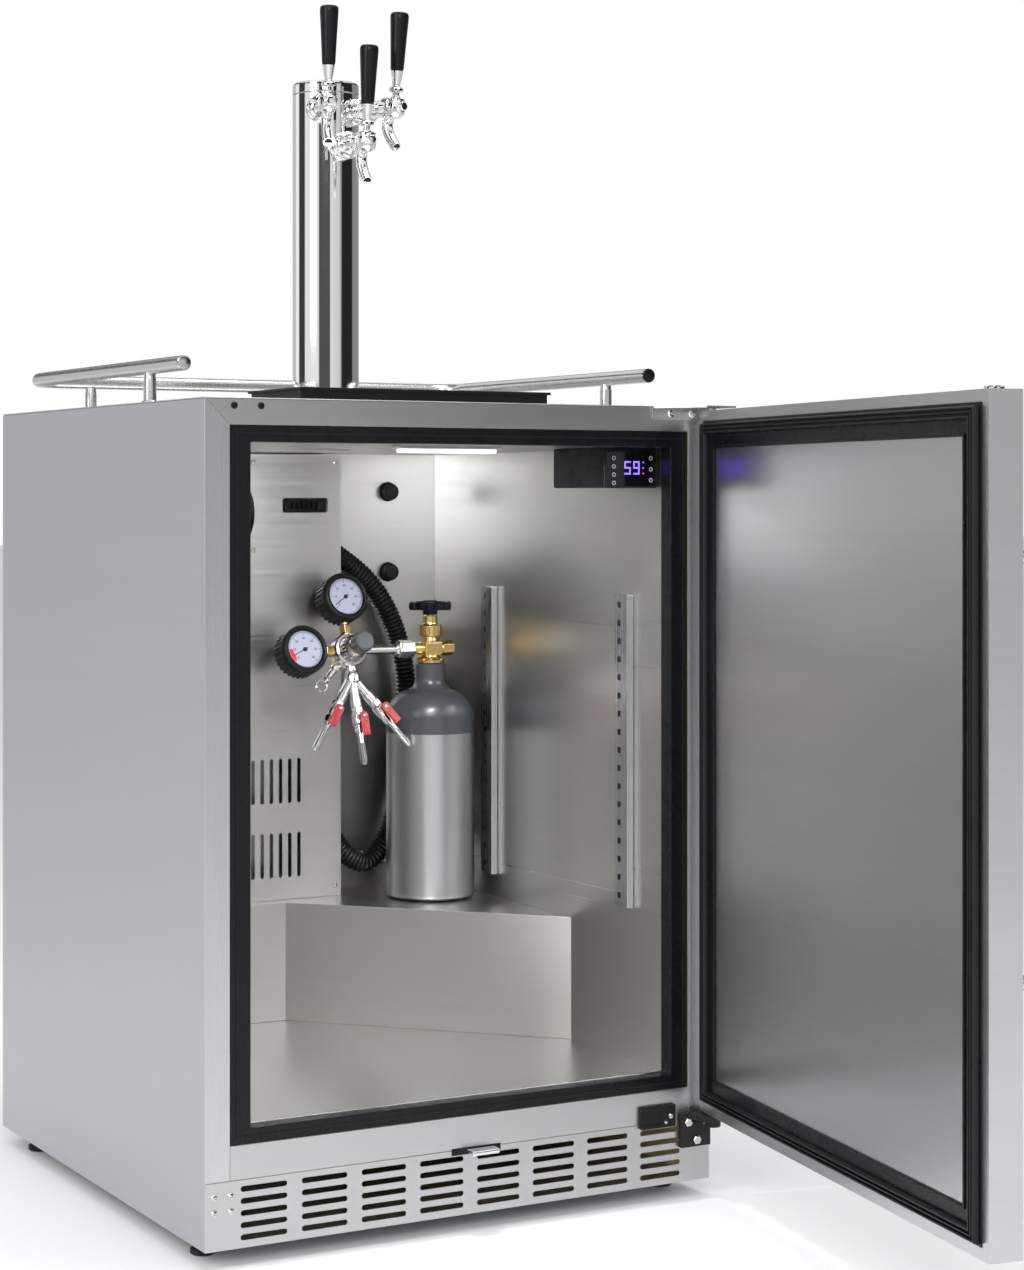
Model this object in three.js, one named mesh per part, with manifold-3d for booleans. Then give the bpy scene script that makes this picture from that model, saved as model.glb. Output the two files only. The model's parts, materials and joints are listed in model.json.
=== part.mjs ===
// Three-tap kegerator: a refrigerated keg cabinet with its door open, a draught tower, a drip tray,
// a guard rail and a carbon dioxide cylinder with its regulator inside.
// Millimetres, +Z up, +X to the right, -Y to the front. The origin is the middle of the base pan's underside.
import * as THREE from "three";
import { mergeVertices } from "three/addons/utils/BufferGeometryUtils.js";
import Module from "manifold-3d";

const wasm = await Module();
wasm.setup();

// ---------------------------------------------------------------- driving dimensions
const gap = 0.3; // clearance left between pieces that touch
const sheet = 1.2; // outer sheet steel

const cabinet = { width: 600, depth: 594, height: 843 };
const frameBand = 27; // width of the front frame's stiles and top rail
const kickHeight = 67.5;
const panBead = { reach: 190, width: 8, depth: 0.4 }; // the pressed groove round the middle of the base pan
const bottomRail = { low: 68, high: 102 };
const breaker = { inner: 50, top: 44, sill: 118, depth: 20 };
const liner = { side: 40, back: 43, top: 44, floor: 115, sheet: 1 };
const step = { rise: 142, shelfDepth: 73, straight: 275, cornerDepth: 330, wall: 30 };

const cover = { width: 360, standOff: 53, topGap: 2 };
const fanHole = { radius: 64, drop: 73 };
const coverWindow = { right: 18, width: 61, drop: 73, height: 18 };
const coverSlot = { width: 5, length: 54, pitch: 12.3, columns: 21, rows: [311, 401] };

const kickSlot = { length: 51, height: 5.6, columns: 8, rows: 5 };
const kickPitch = { x: 67.4, z: 12, lowest: 10.5 };
const backSlot = { length: 60, width: 5, pitch: 12, columns: 20, low: 60 };
const glandRadius = 9;

const door = { sideGap: 0.5, topGap: 5, low: 78, thick: 34, stand: 10, lip: 11, open: 80 };
const doorFrame = { panelInset: 40, thick: 4, proud: 1 }; // the plastic surround of the inner panel
const hinge = { inset: 9.5, behind: 11, pinRadius: 4 };
const gasket = { inset: 14, width: 15, free: 1 };
const handle = { radius: 9.5, length: 470, standOff: 50, fromEdge: 48, centre: 500 };
const handlePost = { radius: 7, inset: 45 };

const tower = { fromFront: 338, radius: 38.1, wall: 1.6, height: 364, capHeight: 13 };
const towerFlange = { radius: 62, height: 5 };
const towerWay = { radius: 32.1, step: 2 }; // the way for the beer lines through the cabinet's roof
const tapSide = { drop: 21.3, azimuth: 38, splay: 17 }; // drops are measured from the column's top
const tapCentre = { drop: 63.3 };
const tap = { shank: 10, reach: 68, collar: 15.5, body: 11, lean: 4, ball: 6, pivotAbove: 8 };

const rail = { radius: 8, inset: 17.2, above: 38, fromFront: 90.5, backInset: 49, bend: 34, postRadius: 6.8 };
const railPost = { sideFromFront: 182, backInset: 92 };
const tray = { width: 300, depth: 124, fromFront: 93, height: 13, lip: 3, wall: 2 };
const grille = { columns: 5, rows: 6, length: 46, width: 6, pitchX: 57, pitchY: 18 };
const foot = { radius: 13, height: 18, insetX: 24, insetY: 60 };

const cylinder = { radius: 54, straight: 221, neckRadius: 17.7, neckZ: 262, height: 285 };
const cylinderPlace = { fromRight: 68, fromBack: 113 };
const valve = { outlet: 303, wheel: 355, wheelRadius: 29, wheelThick: 11 };
const regulator = { fromValve: 112, tilt: 18, bodyRadius: 21, gaugeRadius: 30, gaugeDepth: 34, gaugeOut: 64 };
const manifold = { hub: 32, spread: 36, leg: 40, valveEnd: 70, barbEnd: 108, leverAt: 52 };

const hoseRadius = 13;
const hoseWay = { clear: 14, reach: 9 }; // the slack hole where the slanting hose goes through the cover
const controller = { width: 69, height: 44, fromFront: 40, depth: 108 };
const light = { length: 122, width: 20, height: 8, fromFront: 50 };
const shelfRail = { low: 285, topDrop: 163, width: 36, proud: 9, front: 88, rear: 390 };

// ---------------------------------------------------------------- derived places
const rad = THREE.MathUtils.degToRad;
const halfWidth = cabinet.width / 2;
const front = -cabinet.depth / 2;
const back = cabinet.depth / 2;
const top = cabinet.height;
const linerX = halfWidth - liner.side;
const linerFront = front + breaker.depth;
const linerBack = back - liner.back;
const linerTop = top - liner.top;
const stepTop = liner.floor + step.rise;
const stepFace = linerBack - step.shelfDepth;
const stepCornerX = -linerX + step.straight;
const stepSideY = linerBack - step.cornerDepth;
const coverFace = linerBack - cover.standOff;
const coverRight = -linerX + cover.width;
const coverLow = stepTop + gap;
const coverHigh = linerTop - cover.topGap;
const fanX = (-linerX + coverRight) / 2;
const fanZ = linerTop - fanHole.drop;
const towerY = front + tower.fromFront;
const doorHalf = halfWidth - door.sideGap;
const doorHigh = top - door.topGap;
const pivotX = doorHalf - hinge.inset;
const doorBack = front - door.stand;
const doorFace = doorBack - door.thick;
const pivotY = doorBack - hinge.behind;

// ---------------------------------------------------------------- materials
function finish(color, roughness, metalness) {
  return new THREE.MeshStandardMaterial({ color, roughness, metalness });
}
const brushed = finish(0xb9b9ba, 0.35, 1);
const panelGrey = finish(0xa9abae, 0.45, 0.8);
const galvanised = finish(0x9a9c9e, 0.5, 0.9);
const chrome = finish(0xdddddd, 0.08, 1);
const brass = finish(0xc2a04e, 0.28, 1);
const blackPlastic = finish(0x141416, 0.45, 0);
const blackGloss = finish(0x08080a, 0.12, 0);
const blackRubber = finish(0x17171a, 0.75, 0);
const foam = finish(0xd8c89a, 0.95, 0);
const castBlack = finish(0x1c1c1e, 0.6, 0.4);
const redPlastic = finish(0xb3141c, 0.35, 0);
const greyPaint = finish(0x55585d, 0.35, 0.3);
const copperFins = finish(0x9fa3a6, 0.4, 0.9);
const whiteLens = finish(0xf3f5f8, 0.3, 0);

// ---------------------------------------------------------------- solids
function solid(geometry) {
  const bare = geometry.index ? geometry.toNonIndexed() : geometry.clone();
  bare.deleteAttribute("normal");
  bare.deleteAttribute("uv");
  const merged = mergeVertices(bare, 1e-4);
  return new wasm.Manifold(
    new wasm.Mesh({
      numProp: 3,
      vertProperties: new Float32Array(merged.attributes.position.array),
      triVerts: new Uint32Array(merged.index.array),
    }),
  );
}

const join = (...solids) => solids.reduce((a, b) => a.add(b));
const cut = (body, ...tools) => tools.reduce((a, b) => a.subtract(b), body);

function block(x0, x1, y0, y1, z0, z1) {
  const shape = new THREE.BoxGeometry(x1 - x0, y1 - y0, z1 - z0);
  return solid(shape.translate((x0 + x1) / 2, (y0 + y1) / 2, (z0 + z1) / 2));
}

// A round bar between two points, which tapers when a second radius is given.
function rod(from, to, radius, sides = 20, endRadius = radius) {
  const a = new THREE.Vector3(...from);
  const b = new THREE.Vector3(...to);
  const along = b.clone().sub(a);
  const bar = new THREE.CylinderGeometry(endRadius, radius, along.length(), sides);
  const upright = new THREE.Vector3(0, 1, 0);
  const turn = new THREE.Quaternion().setFromUnitVectors(upright, along.clone().normalize());
  const middle = a.add(b).multiplyScalar(0.5);
  return solid(bar.applyQuaternion(turn).translate(middle.x, middle.y, middle.z));
}

// A solid of revolution about +Z from [radius, height] pairs that run from the bottom to the top.
function turned(profile, sides = 32) {
  const points = profile.map(([r, z]) => new THREE.Vector2(r, z));
  return solid(new THREE.LatheGeometry(points, sides).rotateX(Math.PI / 2));
}

// The same solid with its axis laid along -Y, so that heights in the profile run to the front.
const turnedForward = (profile, sides) => turned(profile, sides).rotate([90, 0, 0]);

function outline(points) {
  return new THREE.Shape(points.map(([x, y]) => new THREE.Vector2(x, y)));
}

const rectangle = (x0, x1, y0, y1) => outline([[x0, y0], [x1, y0], [x1, y1], [x0, y1]]);

function slotPath(x, y, length, width, upright = false) {
  const r = width / 2;
  const h = length / 2 - r * 0.6;
  const points = [[-length / 2, 0], [-h, -r], [h, -r], [length / 2, 0], [h, r], [-h, r]];
  return outline(points.map(([a, b]) => (upright ? [x - b, y + a] : [x + a, y + b])));
}

function discPath(x, y, radius, sides) {
  const turns = Array.from({ length: sides }, (_, i) => (2 * Math.PI * i) / sides);
  return outline(turns.map((t) => [x + radius * Math.cos(t), y + radius * Math.sin(t)]));
}

// A flat plate seen from the front: the outline is in X and Z, and it fills y0 to y1.
function frontPlate(shape, holes, y0, y1) {
  shape.holes.push(...holes);
  const plate = new THREE.ExtrudeGeometry(shape, { depth: y1 - y0, bevelEnabled: false });
  return solid(plate.rotateX(Math.PI / 2).translate(0, y1, 0));
}

// A flat plate seen from above: the outline is in X and Y, and it fills z0 to z1.
function levelPlate(shape, holes, z0, z1) {
  shape.holes.push(...holes);
  const plate = new THREE.ExtrudeGeometry(shape, { depth: z1 - z0, bevelEnabled: false });
  return solid(plate.translate(0, 0, z0));
}

function sweep(curve, radius, sides, steps) {
  const section = discPath(0, 0, radius, sides);
  return solid(new THREE.ExtrudeGeometry(section, { extrudePath: curve, steps, bevelEnabled: false }));
}

const kegerator = new THREE.Group();

function piece(name, body, material, parent = kegerator) {
  const made = body.getMesh();
  const geometry = new THREE.BufferGeometry();
  geometry.setAttribute("position", new THREE.BufferAttribute(new Float32Array(made.vertProperties), 3));
  geometry.setIndex(new THREE.BufferAttribute(new Uint32Array(made.triVerts), 1));
  geometry.computeVertexNormals();
  const mesh = new THREE.Mesh(geometry, material);
  mesh.name = name;
  parent.add(mesh);
  return mesh;
}

// ---------------------------------------------------------------- outer cabinet
function sidePanels() {
  const y0 = front + sheet + gap;
  const z1 = top - sheet - gap;
  piece("side_panel_left", block(-halfWidth, -halfWidth + sheet, y0, back, 0, z1), panelGrey);
  piece("side_panel_right", block(halfWidth - sheet, halfWidth, y0, back, 0, z1), panelGrey);
}

function backPanel() {
  const x = halfWidth - sheet - gap;
  const slotZ = backSlot.low + backSlot.length / 2;
  const span = (backSlot.columns - 1) * backSlot.pitch;
  const slots = Array.from({ length: backSlot.columns }, (_, i) =>
    slotPath(-span / 2 + i * backSlot.pitch, slotZ, backSlot.length, backSlot.width, true),
  );
  const gland = discPath(-x + 60, backSlot.low, glandRadius, 16);
  const plate = rectangle(-x, x, sheet + gap, top - sheet - gap);
  piece("back_panel", frontPlate(plate, [...slots, gland], back - sheet, back), galvanised);
}

function topPanel() {
  const hole = discPath(0, towerY, towerWay.radius + towerWay.step, 24);
  const plate = rectangle(-halfWidth, halfWidth, front, back);
  piece("top_panel", levelPlate(plate, [hole], top - sheet, top), brushed);
}

function basePan() {
  const x = halfWidth - sheet - gap;
  const pan = block(-x, x, front + sheet + gap, back - sheet - gap, 0, sheet);
  const { reach, width, depth } = panBead;
  const middle = reach - width;
  const groove = cut(
    block(-reach, reach, -reach, reach, -depth, depth),
    block(-middle, middle, -middle, middle, -depth - 1, depth + 1),
  );
  piece("base_pan", cut(pan, groove), galvanised);
}

function faceFrame() {
  const outer = rectangle(-halfWidth, halfWidth, bottomRail.low, top - sheet - gap);
  const inner = rectangle(-halfWidth + frameBand, halfWidth - frameBand, bottomRail.high, top - frameBand);
  piece("face_frame", frontPlate(outer, [inner], front, front + sheet), brushed);
}

function breakerFrame() {
  const x = halfWidth - frameBand - gap;
  const outer = rectangle(-x, x, bottomRail.high + gap, top - frameBand - gap);
  const openX = halfWidth - breaker.inner;
  const inner = rectangle(-openX, openX, breaker.sill, top - breaker.top);
  piece("breaker_frame", frontPlate(outer, [inner], front + gap, linerFront - gap), blackPlastic);
}

function kickPlate() {
  const holes = [];
  for (let row = 0; row < kickSlot.rows; row += 1) {
    for (let column = 0; column < kickSlot.columns; column += 1) {
      const x = (column - (kickSlot.columns - 1) / 2) * kickPitch.x;
      const z = kickPitch.lowest + row * kickPitch.z;
      holes.push(slotPath(x, z, kickSlot.length, kickSlot.height));
    }
  }
  const plate = rectangle(-halfWidth, halfWidth, 0, kickHeight);
  piece("kick_plate", frontPlate(plate, holes, front, front + sheet), brushed);
}

// ---------------------------------------------------------------- liner, step and insulation
// The step's outline seen from above, moved back from its two front faces by an inset.
function stepOutline(inset, side, rear) {
  const dx = linerX - stepCornerX;
  const dy = stepFace - stepSideY;
  const slope = dy / dx;
  const shift = (inset * Math.hypot(dx, dy)) / dx;
  const faceY = stepFace + inset;
  const cornerX = stepCornerX + (shift - inset) / slope;
  const sideY = stepSideY + shift - (side - linerX) * slope;
  return outline([[-side, faceY], [cornerX, faceY], [side, sideY], [side, rear], [-side, rear]]);
}

function linerShell() {
  const t = liner.sheet;
  const outer = block(-linerX - t, linerX + t, linerFront, linerBack + t, liner.floor - t, linerTop + t);
  const inner = block(-linerX, linerX, linerFront - 5, linerBack, liner.floor, linerTop);
  const stepShape = stepOutline(-gap, linerX + 5, linerBack + 5);
  const stepRoom = levelPlate(stepShape, [], liner.floor - 5, stepTop + gap);
  const towerHole = rod([0, towerY, linerTop - 5], [0, towerY, linerTop + 5], towerWay.radius, 24);
  piece("liner", cut(outer, inner, stepRoom, towerHole), brushed);
}

function stepCover() {
  const t = liner.sheet;
  const outer = levelPlate(stepOutline(0, linerX, linerBack), [], liner.floor, stepTop);
  const inner = levelPlate(stepOutline(t, linerX + 5, linerBack + 5), [], liner.floor - 5, stepTop - t);
  piece("step_cover", cut(outer, inner), brushed);
}

function insulation() {
  const t = liner.sheet + gap;
  const side = halfWidth - sheet - gap;
  const rear = back - sheet - gap;
  const roof = top - sheet - gap;
  const whole = block(-side, side, front + sheet + gap, rear, sheet + gap, roof);
  const room = block(-linerX - t, linerX + t, front - 5, linerBack + t, liner.floor - t, linerTop + t);
  const hump = levelPlate(stepOutline(t, linerX + t, linerBack + t), [], 0, stepTop - t);
  const mouthX = halfWidth - frameBand;
  const mouth = block(-mouthX, mouthX, front - 5, linerFront, bottomRail.high, top - frameBand);
  const plant = levelPlate(stepOutline(step.wall, side - 8, rear + 5), [], -5, stepTop - step.wall);
  const crawl = block(-side + 8, side - 8, front + 30, stepFace + step.wall + 20, -5, liner.floor - 45);
  const kickVent = block(-side + 8, side - 8, front - 5, front + 40, -5, kickHeight - 5);
  const towerHole = rod([0, towerY, linerTop - 5], [0, towerY, top + 5], towerWay.radius, 24);
  const shell = cut(whole, cut(room, hump), mouth, plant, crawl, kickVent, towerHole);
  piece("foam_insulation", shell, foam);
}

// ---------------------------------------------------------------- cooling system
function evaporatorCover() {
  const span = (coverSlot.columns - 1) * coverSlot.pitch;
  const slots = coverSlot.rows.flatMap((z) =>
    Array.from({ length: coverSlot.columns }, (_, i) =>
      slotPath(fanX - span / 2 + i * coverSlot.pitch, z, coverSlot.length, coverSlot.width, true),
    ),
  );
  const windowX = coverRight - coverWindow.right - coverWindow.width / 2;
  const windowZ = linerTop - coverWindow.drop + coverWindow.height / 2;
  const opening = slotPath(windowX, windowZ, coverWindow.width, coverWindow.height);
  const fan = discPath(fanX, fanZ, fanHole.radius, 24);
  const face = rectangle(-linerX + gap, coverRight, coverLow, coverHigh);
  const plate = frontPlate(face, [fan, opening, ...slots], coverFace, coverFace + sheet);
  const cheek = block(coverRight - sheet, coverRight, coverFace, linerBack - gap, coverLow, coverHigh);
  const hoseWays = [hoseOut, hoseIn].map(([x, y, z]) =>
    rod([x - hoseWay.reach, y, z], [x + hoseWay.reach, y, z], hoseRadius + hoseWay.clear, 16),
  );
  piece("evaporator_cover", cut(join(plate, cheek), ...hoseWays), brushed);
}

const coilTop = fanZ - fanHole.radius - 22;
const motorBack = linerBack - 3;

function evaporatorCoil() {
  const x0 = -linerX + 20;
  const x1 = coverRight - 62;
  const y0 = coverFace + 10;
  const z0 = stepTop + 200;
  const core = block(x0, x1, y0, motorBack, z0, coilTop);
  const fins = 12;
  const pitch = (x1 - x0) / fins;
  const grooves = Array.from({ length: fins - 1 }, (_, i) => {
    const x = x0 + (i + 1) * pitch;
    return block(x - pitch / 4, x + pitch / 4, y0 - 1, y0 + 12, z0 - 1, coilTop + 1);
  });
  const bracket = block(fanX - 16, fanX + 16, motorBack - 3, motorBack, coilTop - 5, fanZ + 20);
  const motor = rod([fanX, motorBack - 1, fanZ], [fanX, coverFace + 27, fanZ], 27, 20);
  const shaft = rod([fanX, coverFace + 28, fanZ], [fanX, coverFace + 20, fanZ], 3, 12);
  piece("evaporator_coil", join(cut(core, ...grooves), bracket, motor, shaft), copperFins);
}

// A fan whose axis is along Y: a hub bored for its shaft, with pitched blades.
function fanWheel(name, x, z, y0, y1, radius, blades, shaftY) {
  const hub = rod([x, y0, z], [x, y1, z], 15, 20);
  const wings = Array.from({ length: blades }, (_, i) => {
    const blade = block(12, radius, -1, 1, -radius * 0.26, radius * 0.26).rotate([24, 0, 0]);
    return blade.rotate([0, (360 * i) / blades, 0]).translate([x, (y0 + y1) / 2, z]);
  });
  const bore = rod([x, (y0 + y1) / 2, z], [x, shaftY, z], 3 + gap, 12);
  piece(name, cut(join(hub, ...wings), bore), blackPlastic);
}

function evaporatorFan() {
  const blades = [coverFace + 8, coverFace + 24];
  fanWheel("evaporator_fan", fanX, fanZ, ...blades, fanHole.radius - 8, 5, coverFace + 30);
}

const compressorPlace = [160, back - 97];

function compressorUnit() {
  const [x, y] = compressorPlace;
  const shell = turned([[0, 22], [62, 22], [76, 34], [76, 132], [70, 160], [46, 184], [0, 190]], 20);
  const skirt = block(-62, 62, -70, 70, 14, 24);
  const corners = [[-50, -58], [50, -58], [-50, 58], [50, 58]];
  const mounts = corners.map(([a, b]) => rod([a, b, sheet + gap], [a, b, 16], 12, 12));
  const terminal = block(-86, -70, -20, 20, 70, 112);
  piece("compressor", join(shell, skirt, terminal, ...mounts).translate([x, y, 0]), castBlack);
}

const condenser = { x: -160, low: 20, high: 196, half: 88 };
const condenserFront = stepFace + step.wall + 4;

function condenserCoil() {
  const z = (condenser.low + condenser.high) / 2;
  const { x, low, high, half } = condenser;
  const core = block(x - half, x + half, condenserFront, condenserFront + 22, low, high);
  const fins = 12;
  const pitch = (2 * half) / fins;
  const grooves = Array.from({ length: fins - 1 }, (_, i) => {
    const at = x - half + (i + 1) * pitch;
    return block(at - pitch / 4, at + pitch / 4, condenserFront - 1, condenserFront + 9, low - 1, high + 1);
  });
  const feet = [-half + 12, half - 12].map((a) =>
    block(x + a - 10, x + a + 10, condenserFront + 4, condenserFront + 18, sheet + gap, low + 2),
  );
  const motor = rod([x, condenserFront + 20, z], [x, condenserFront + 38, z], 25, 20);
  const shaft = rod([x, condenserFront + 36, z], [x, condenserFront + 46, z], 3, 12);
  piece("condenser_coil", join(cut(core, ...grooves), ...feet, motor, shaft), copperFins);
}

function condenserFan() {
  const z = (condenser.low + condenser.high) / 2;
  const blades = [condenserFront + 40, condenserFront + 56];
  fanWheel("condenser_fan", condenser.x, z, ...blades, 68, 5, condenserFront + 35);
}

// A cooling hose in a long bow: out of the cover's cheek, down behind the cylinder and back in.
const hoseY = linerBack - 29;
const hoseOut = [coverRight, hoseY, 678];
const hoseIn = [coverRight, hoseY, 326];
const hosePoints = [
  [coverRight - 12, hoseY, 684],
  hoseOut,
  [coverRight + 45, hoseY, 645],
  [coverRight + 76, hoseY, 605],
  [coverRight + 96, hoseY, 555],
  [coverRight + 104, hoseY, 500],
  [coverRight + 103, hoseY, 440],
  [coverRight + 95, hoseY, 378],
  [coverRight + 76, hoseY, 321],
  [coverRight + 48, hoseY, 293],
  [coverRight + 20, hoseY, 302],
  hoseIn,
  [coverRight - 16, hoseY, 352],
];

function towerHose() {
  const curve = new THREE.CatmullRomCurve3(hosePoints.map((p) => new THREE.Vector3(...p)));
  piece("tower_hose", sweep(curve, hoseRadius, 8, 32), blackRubber);
}

// ---------------------------------------------------------------- cabinet fittings
function hinges() {
  const flangeX = [halfWidth - 75, halfWidth - 17];
  const plateFront = pivotY - 30;
  const flange = block(...flangeX, front - gap - 2, front - gap, top - 15, top - 0.5);
  const corners = [
    [flangeX[0], front - gap],
    [flangeX[0] + 37, plateFront],
    [halfWidth, plateFront],
    [halfWidth, front - gap],
  ];
  const leaf = levelPlate(outline(corners), [], top - 2.5, top - 0.5);
  const pin = rod([pivotX, pivotY, doorHigh - 14], [pivotX, pivotY, top - 2], hinge.pinRadius, 16);
  piece("top_hinge_plate", join(flange, leaf, pin), brushed);

  const armTop = door.low - 2;
  const plate = block(halfWidth - 40, halfWidth - 2, front - gap - 6, front - gap, armTop - 38, armTop);
  const arm = block(halfWidth - 30, halfWidth, pivotY - 12, front - gap, armTop - 6, armTop);
  const knuckle = rod([pivotX, pivotY, armTop - 14], [pivotX, pivotY, armTop], 9, 20);
  const lowPin = rod([pivotX, pivotY, armTop - 2], [pivotX, pivotY, door.low + 14], hinge.pinRadius, 16);
  piece("bottom_hinge_bracket", join(plate, arm, knuckle, lowPin), castBlack);
}

function lockStrike() {
  const plate = block(-12, 32, front - gap - 2, front - gap, 52, 75);
  const tongue = block(-6, 26, front - 16, front - gap, 66, 68.5);
  const lip = block(-6, 26, front - 16, front - 13.5, 60, 68.5);
  piece("lock_strike", join(plate, tongue, lip), chrome);
}

function doorSensor() {
  const z0 = door.low - 15;
  const body = block(halfWidth - 91, halfWidth - 47, front - gap - 5, front - gap, z0, z0 + 24);
  const recess = block(halfWidth - 86, halfWidth - 66, front - 7, front - 4, z0 + 4, z0 + 20);
  piece("door_sensor", cut(body, recess), blackPlastic);
}

function controllerBox() {
  const x1 = linerX - gap;
  const x0 = x1 - controller.width;
  const y0 = front + controller.fromFront;
  const z1 = linerTop - gap;
  const z0 = z1 - controller.height;
  piece("controller_housing", block(x0, x1, y0, y0 + controller.depth, z0, z1), blackPlastic);
  piece("controller_panel", block(x0 + 1, x1 - 1, y0 - 2.3, y0 - gap, z0 + 1, z1 - 1), blackGloss);
}

function lightStrip() {
  const y = front + light.fromFront;
  const half = light.length / 2;
  const z1 = linerTop - gap;
  const body = block(-half, half, y - light.width / 2, y + light.width / 2, z1 - light.height / 2, z1);
  const lensHalf = light.width / 2 - 3;
  const lens = block(-half + 4, half - 4, y - lensHalf, y + lensHalf, z1 - light.height, z1 - 2);
  piece("light_strip", join(body, lens), whiteLens);
}

function shelfRails() {
  const x1 = linerX - gap;
  const { low, width, proud } = shelfRail;
  const high = linerTop - shelfRail.topDrop;
  for (const [name, from] of [["shelf_rail_front", shelfRail.front], ["shelf_rail_rear", shelfRail.rear]]) {
    const y0 = front + from;
    const strip = block(x1 - 1.5, x1, y0, y0 + width, low, high);
    const ridge = block(x1 - proud, x1, y0, y0 + width * 0.4, low, high);
    const hollow = block(x1 - proud + 1.5, x1 + 1, y0 + 1.5, y0 + width * 0.4 - 1.5, low - 1, high + 1);
    const notches = Array.from({ length: 13 }, (_, i) => {
      const z = low + 14 + i * 27;
      return block(x1 - 3, x1 + 1, y0 + width * 0.62, y0 + width * 0.8, z - 3, z + 3);
    });
    piece(name, cut(join(strip, ridge), hollow, ...notches), brushed);
  }
}

function feet() {
  const { radius, height, insetX, insetY } = foot;
  const stem = radius * 0.7;
  const pad = -height + 8;
  const profile = [[0, -height], [radius, -height], [radius, pad], [stem, pad + 2], [stem, -gap], [0, -gap]];
  const places = [["front_left", -1, -1], ["front_right", 1, -1], ["rear_left", -1, 1], ["rear_right", 1, 1]];
  for (const [name, sx, sy] of places) {
    const place = [sx * (halfWidth - insetX), sy * (back - insetY), 0];
    piece(`foot_${name}`, turned(profile, 16).translate(place), blackRubber);
  }
}

// ---------------------------------------------------------------- top fittings
function guardRail() {
  const x = halfWidth - rail.inset;
  const y0 = front + rail.fromFront;
  const y1 = back - rail.backInset;
  const z = top + rail.above;
  const bar = (a, b) => rod([...a, z], [...b, z], rail.radius, 12);
  const elbow = (sx) => {
    const bend = new THREE.QuadraticBezierCurve3(
      new THREE.Vector3(sx * x, y1 - rail.bend, z),
      new THREE.Vector3(sx * x, y1, z),
      new THREE.Vector3(sx * (x - rail.bend), y1, z),
    );
    return sweep(bend, rail.radius, 12, 5);
  };
  const lap = 1;
  const arms = [-1, 1].flatMap((sx) => [bar([sx * x, y0], [sx * x, y1 - rail.bend + lap]), elbow(sx)]);
  const rear = bar([-x + rail.bend - lap, y1], [x - rail.bend + lap, y1]);
  const postZ = top + gap;
  const post = (px, py) => rod([px, py, postZ], [px, py, z], rail.postRadius, 10);
  const sideY = front + railPost.sideFromFront;
  const rearX = halfWidth - railPost.backInset;
  const posts = [-1, 1].flatMap((sx) => [post(sx * x, sideY), post(sx * rearX, y1)]);
  piece("guard_rail", join(...arms, rear, ...posts), brushed);
}

const trayY = front + tray.fromFront;

function dripTray() {
  const x = tray.width / 2;
  const y0 = trayY;
  const y1 = trayY + tray.depth;
  const z0 = top + gap;
  const z1 = z0 + tray.height;
  const w = tray.wall;
  const trough = block(-x + w, x - w, y0 + w, y1 - w, z0 + w, z1 + 20);
  const bowl = cut(block(-x, x, y0, y1, z0, z1 + tray.lip), trough);
  const rim = cut(
    block(-x - w - 1, x + w + 1, y0 - w - 1, y1 + w + 1, z1, z1 + tray.lip),
    block(-x + 1, x - 1, y0 + 1, y1 - 1, z1 - 1, z1 + 20),
  );
  const ledge = cut(
    block(-x + 1, x - 1, y0 + 1, y1 - 1, z0 + 1, z1 - 3),
    block(-x + 6, x - 6, y0 + 6, y1 - 6, z0, z1 + 1),
  );
  piece("drip_tray", join(bowl, rim, ledge), blackPlastic);

  const holes = [];
  const { columns, rows, length, width } = grille;
  for (let row = 0; row < rows; row += 1) {
    for (let column = 0; column < columns; column += 1) {
      const slotX = (column - (columns - 1) / 2) * grille.pitchX;
      const slotY = (y0 + y1) / 2 + (row - (rows - 1) / 2) * grille.pitchY;
      holes.push(slotPath(slotX, slotY, length, width));
    }
  }
  const c = w + gap;
  const grate = rectangle(-x + c, x - c, y0 + c, y1 - c);
  piece("drip_grille", levelPlate(grate, holes, z1 - 3 + gap, z1 - 1), brushed);
}

const towerBase = top + gap;
const towerTop = towerBase + tower.height;

const sideTapX = tower.radius * Math.sin(rad(tapSide.azimuth));
const sideTapY = -tower.radius * Math.cos(rad(tapSide.azimuth));
const sideTapZ = towerTop - tapSide.drop;
const taps = [
  { name: "left", x: -sideTapX, y: sideTapY, z: sideTapZ, turn: -tapSide.splay },
  { name: "centre", x: 0, y: -tower.radius, z: towerTop - tapCentre.drop, turn: 0 },
  { name: "right", x: sideTapX, y: sideTapY, z: sideTapZ, turn: tapSide.splay },
];

function towerColumn() {
  const { radius, wall } = tower;
  const inner = radius - wall;
  const flangeTop = towerBase + towerFlange.height;
  const tubeProfile = [
    [inner, towerBase],
    [towerFlange.radius, towerBase],
    [towerFlange.radius, flangeTop],
    [radius, flangeTop],
    [radius, towerTop],
    [inner, towerTop],
    [inner, towerBase],
  ];
  const tube = turned(tubeProfile, 28);
  const bores = taps.map((t) =>
    rod([0, 30, 0], [0, -30, 0], tap.shank + gap, 14)
      .rotate([0, 0, t.turn])
      .translate([t.x, t.y, t.z]),
  );
  piece("tower_column", cut(tube, ...bores).translate([0, towerY, 0]), chrome);

  const z0 = towerTop + gap;
  const z1 = z0 + tower.capHeight;
  const plug = inner - gap;
  const capProfile = [
    [plug - 2, z0 - 10],
    [plug, z0 - 10],
    [plug, z0],
    [radius, z0],
    [radius, z1 - 3],
    [radius - 3, z1],
    [0, z1],
    [0, z0 + 4],
    [plug - 2, z0 + 4],
    [plug - 2, z0 - 10],
  ];
  const cap = turned(capProfile, 28);
  piece("tower_cap", cap.translate([0, towerY, 0]), chrome);
}

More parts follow.
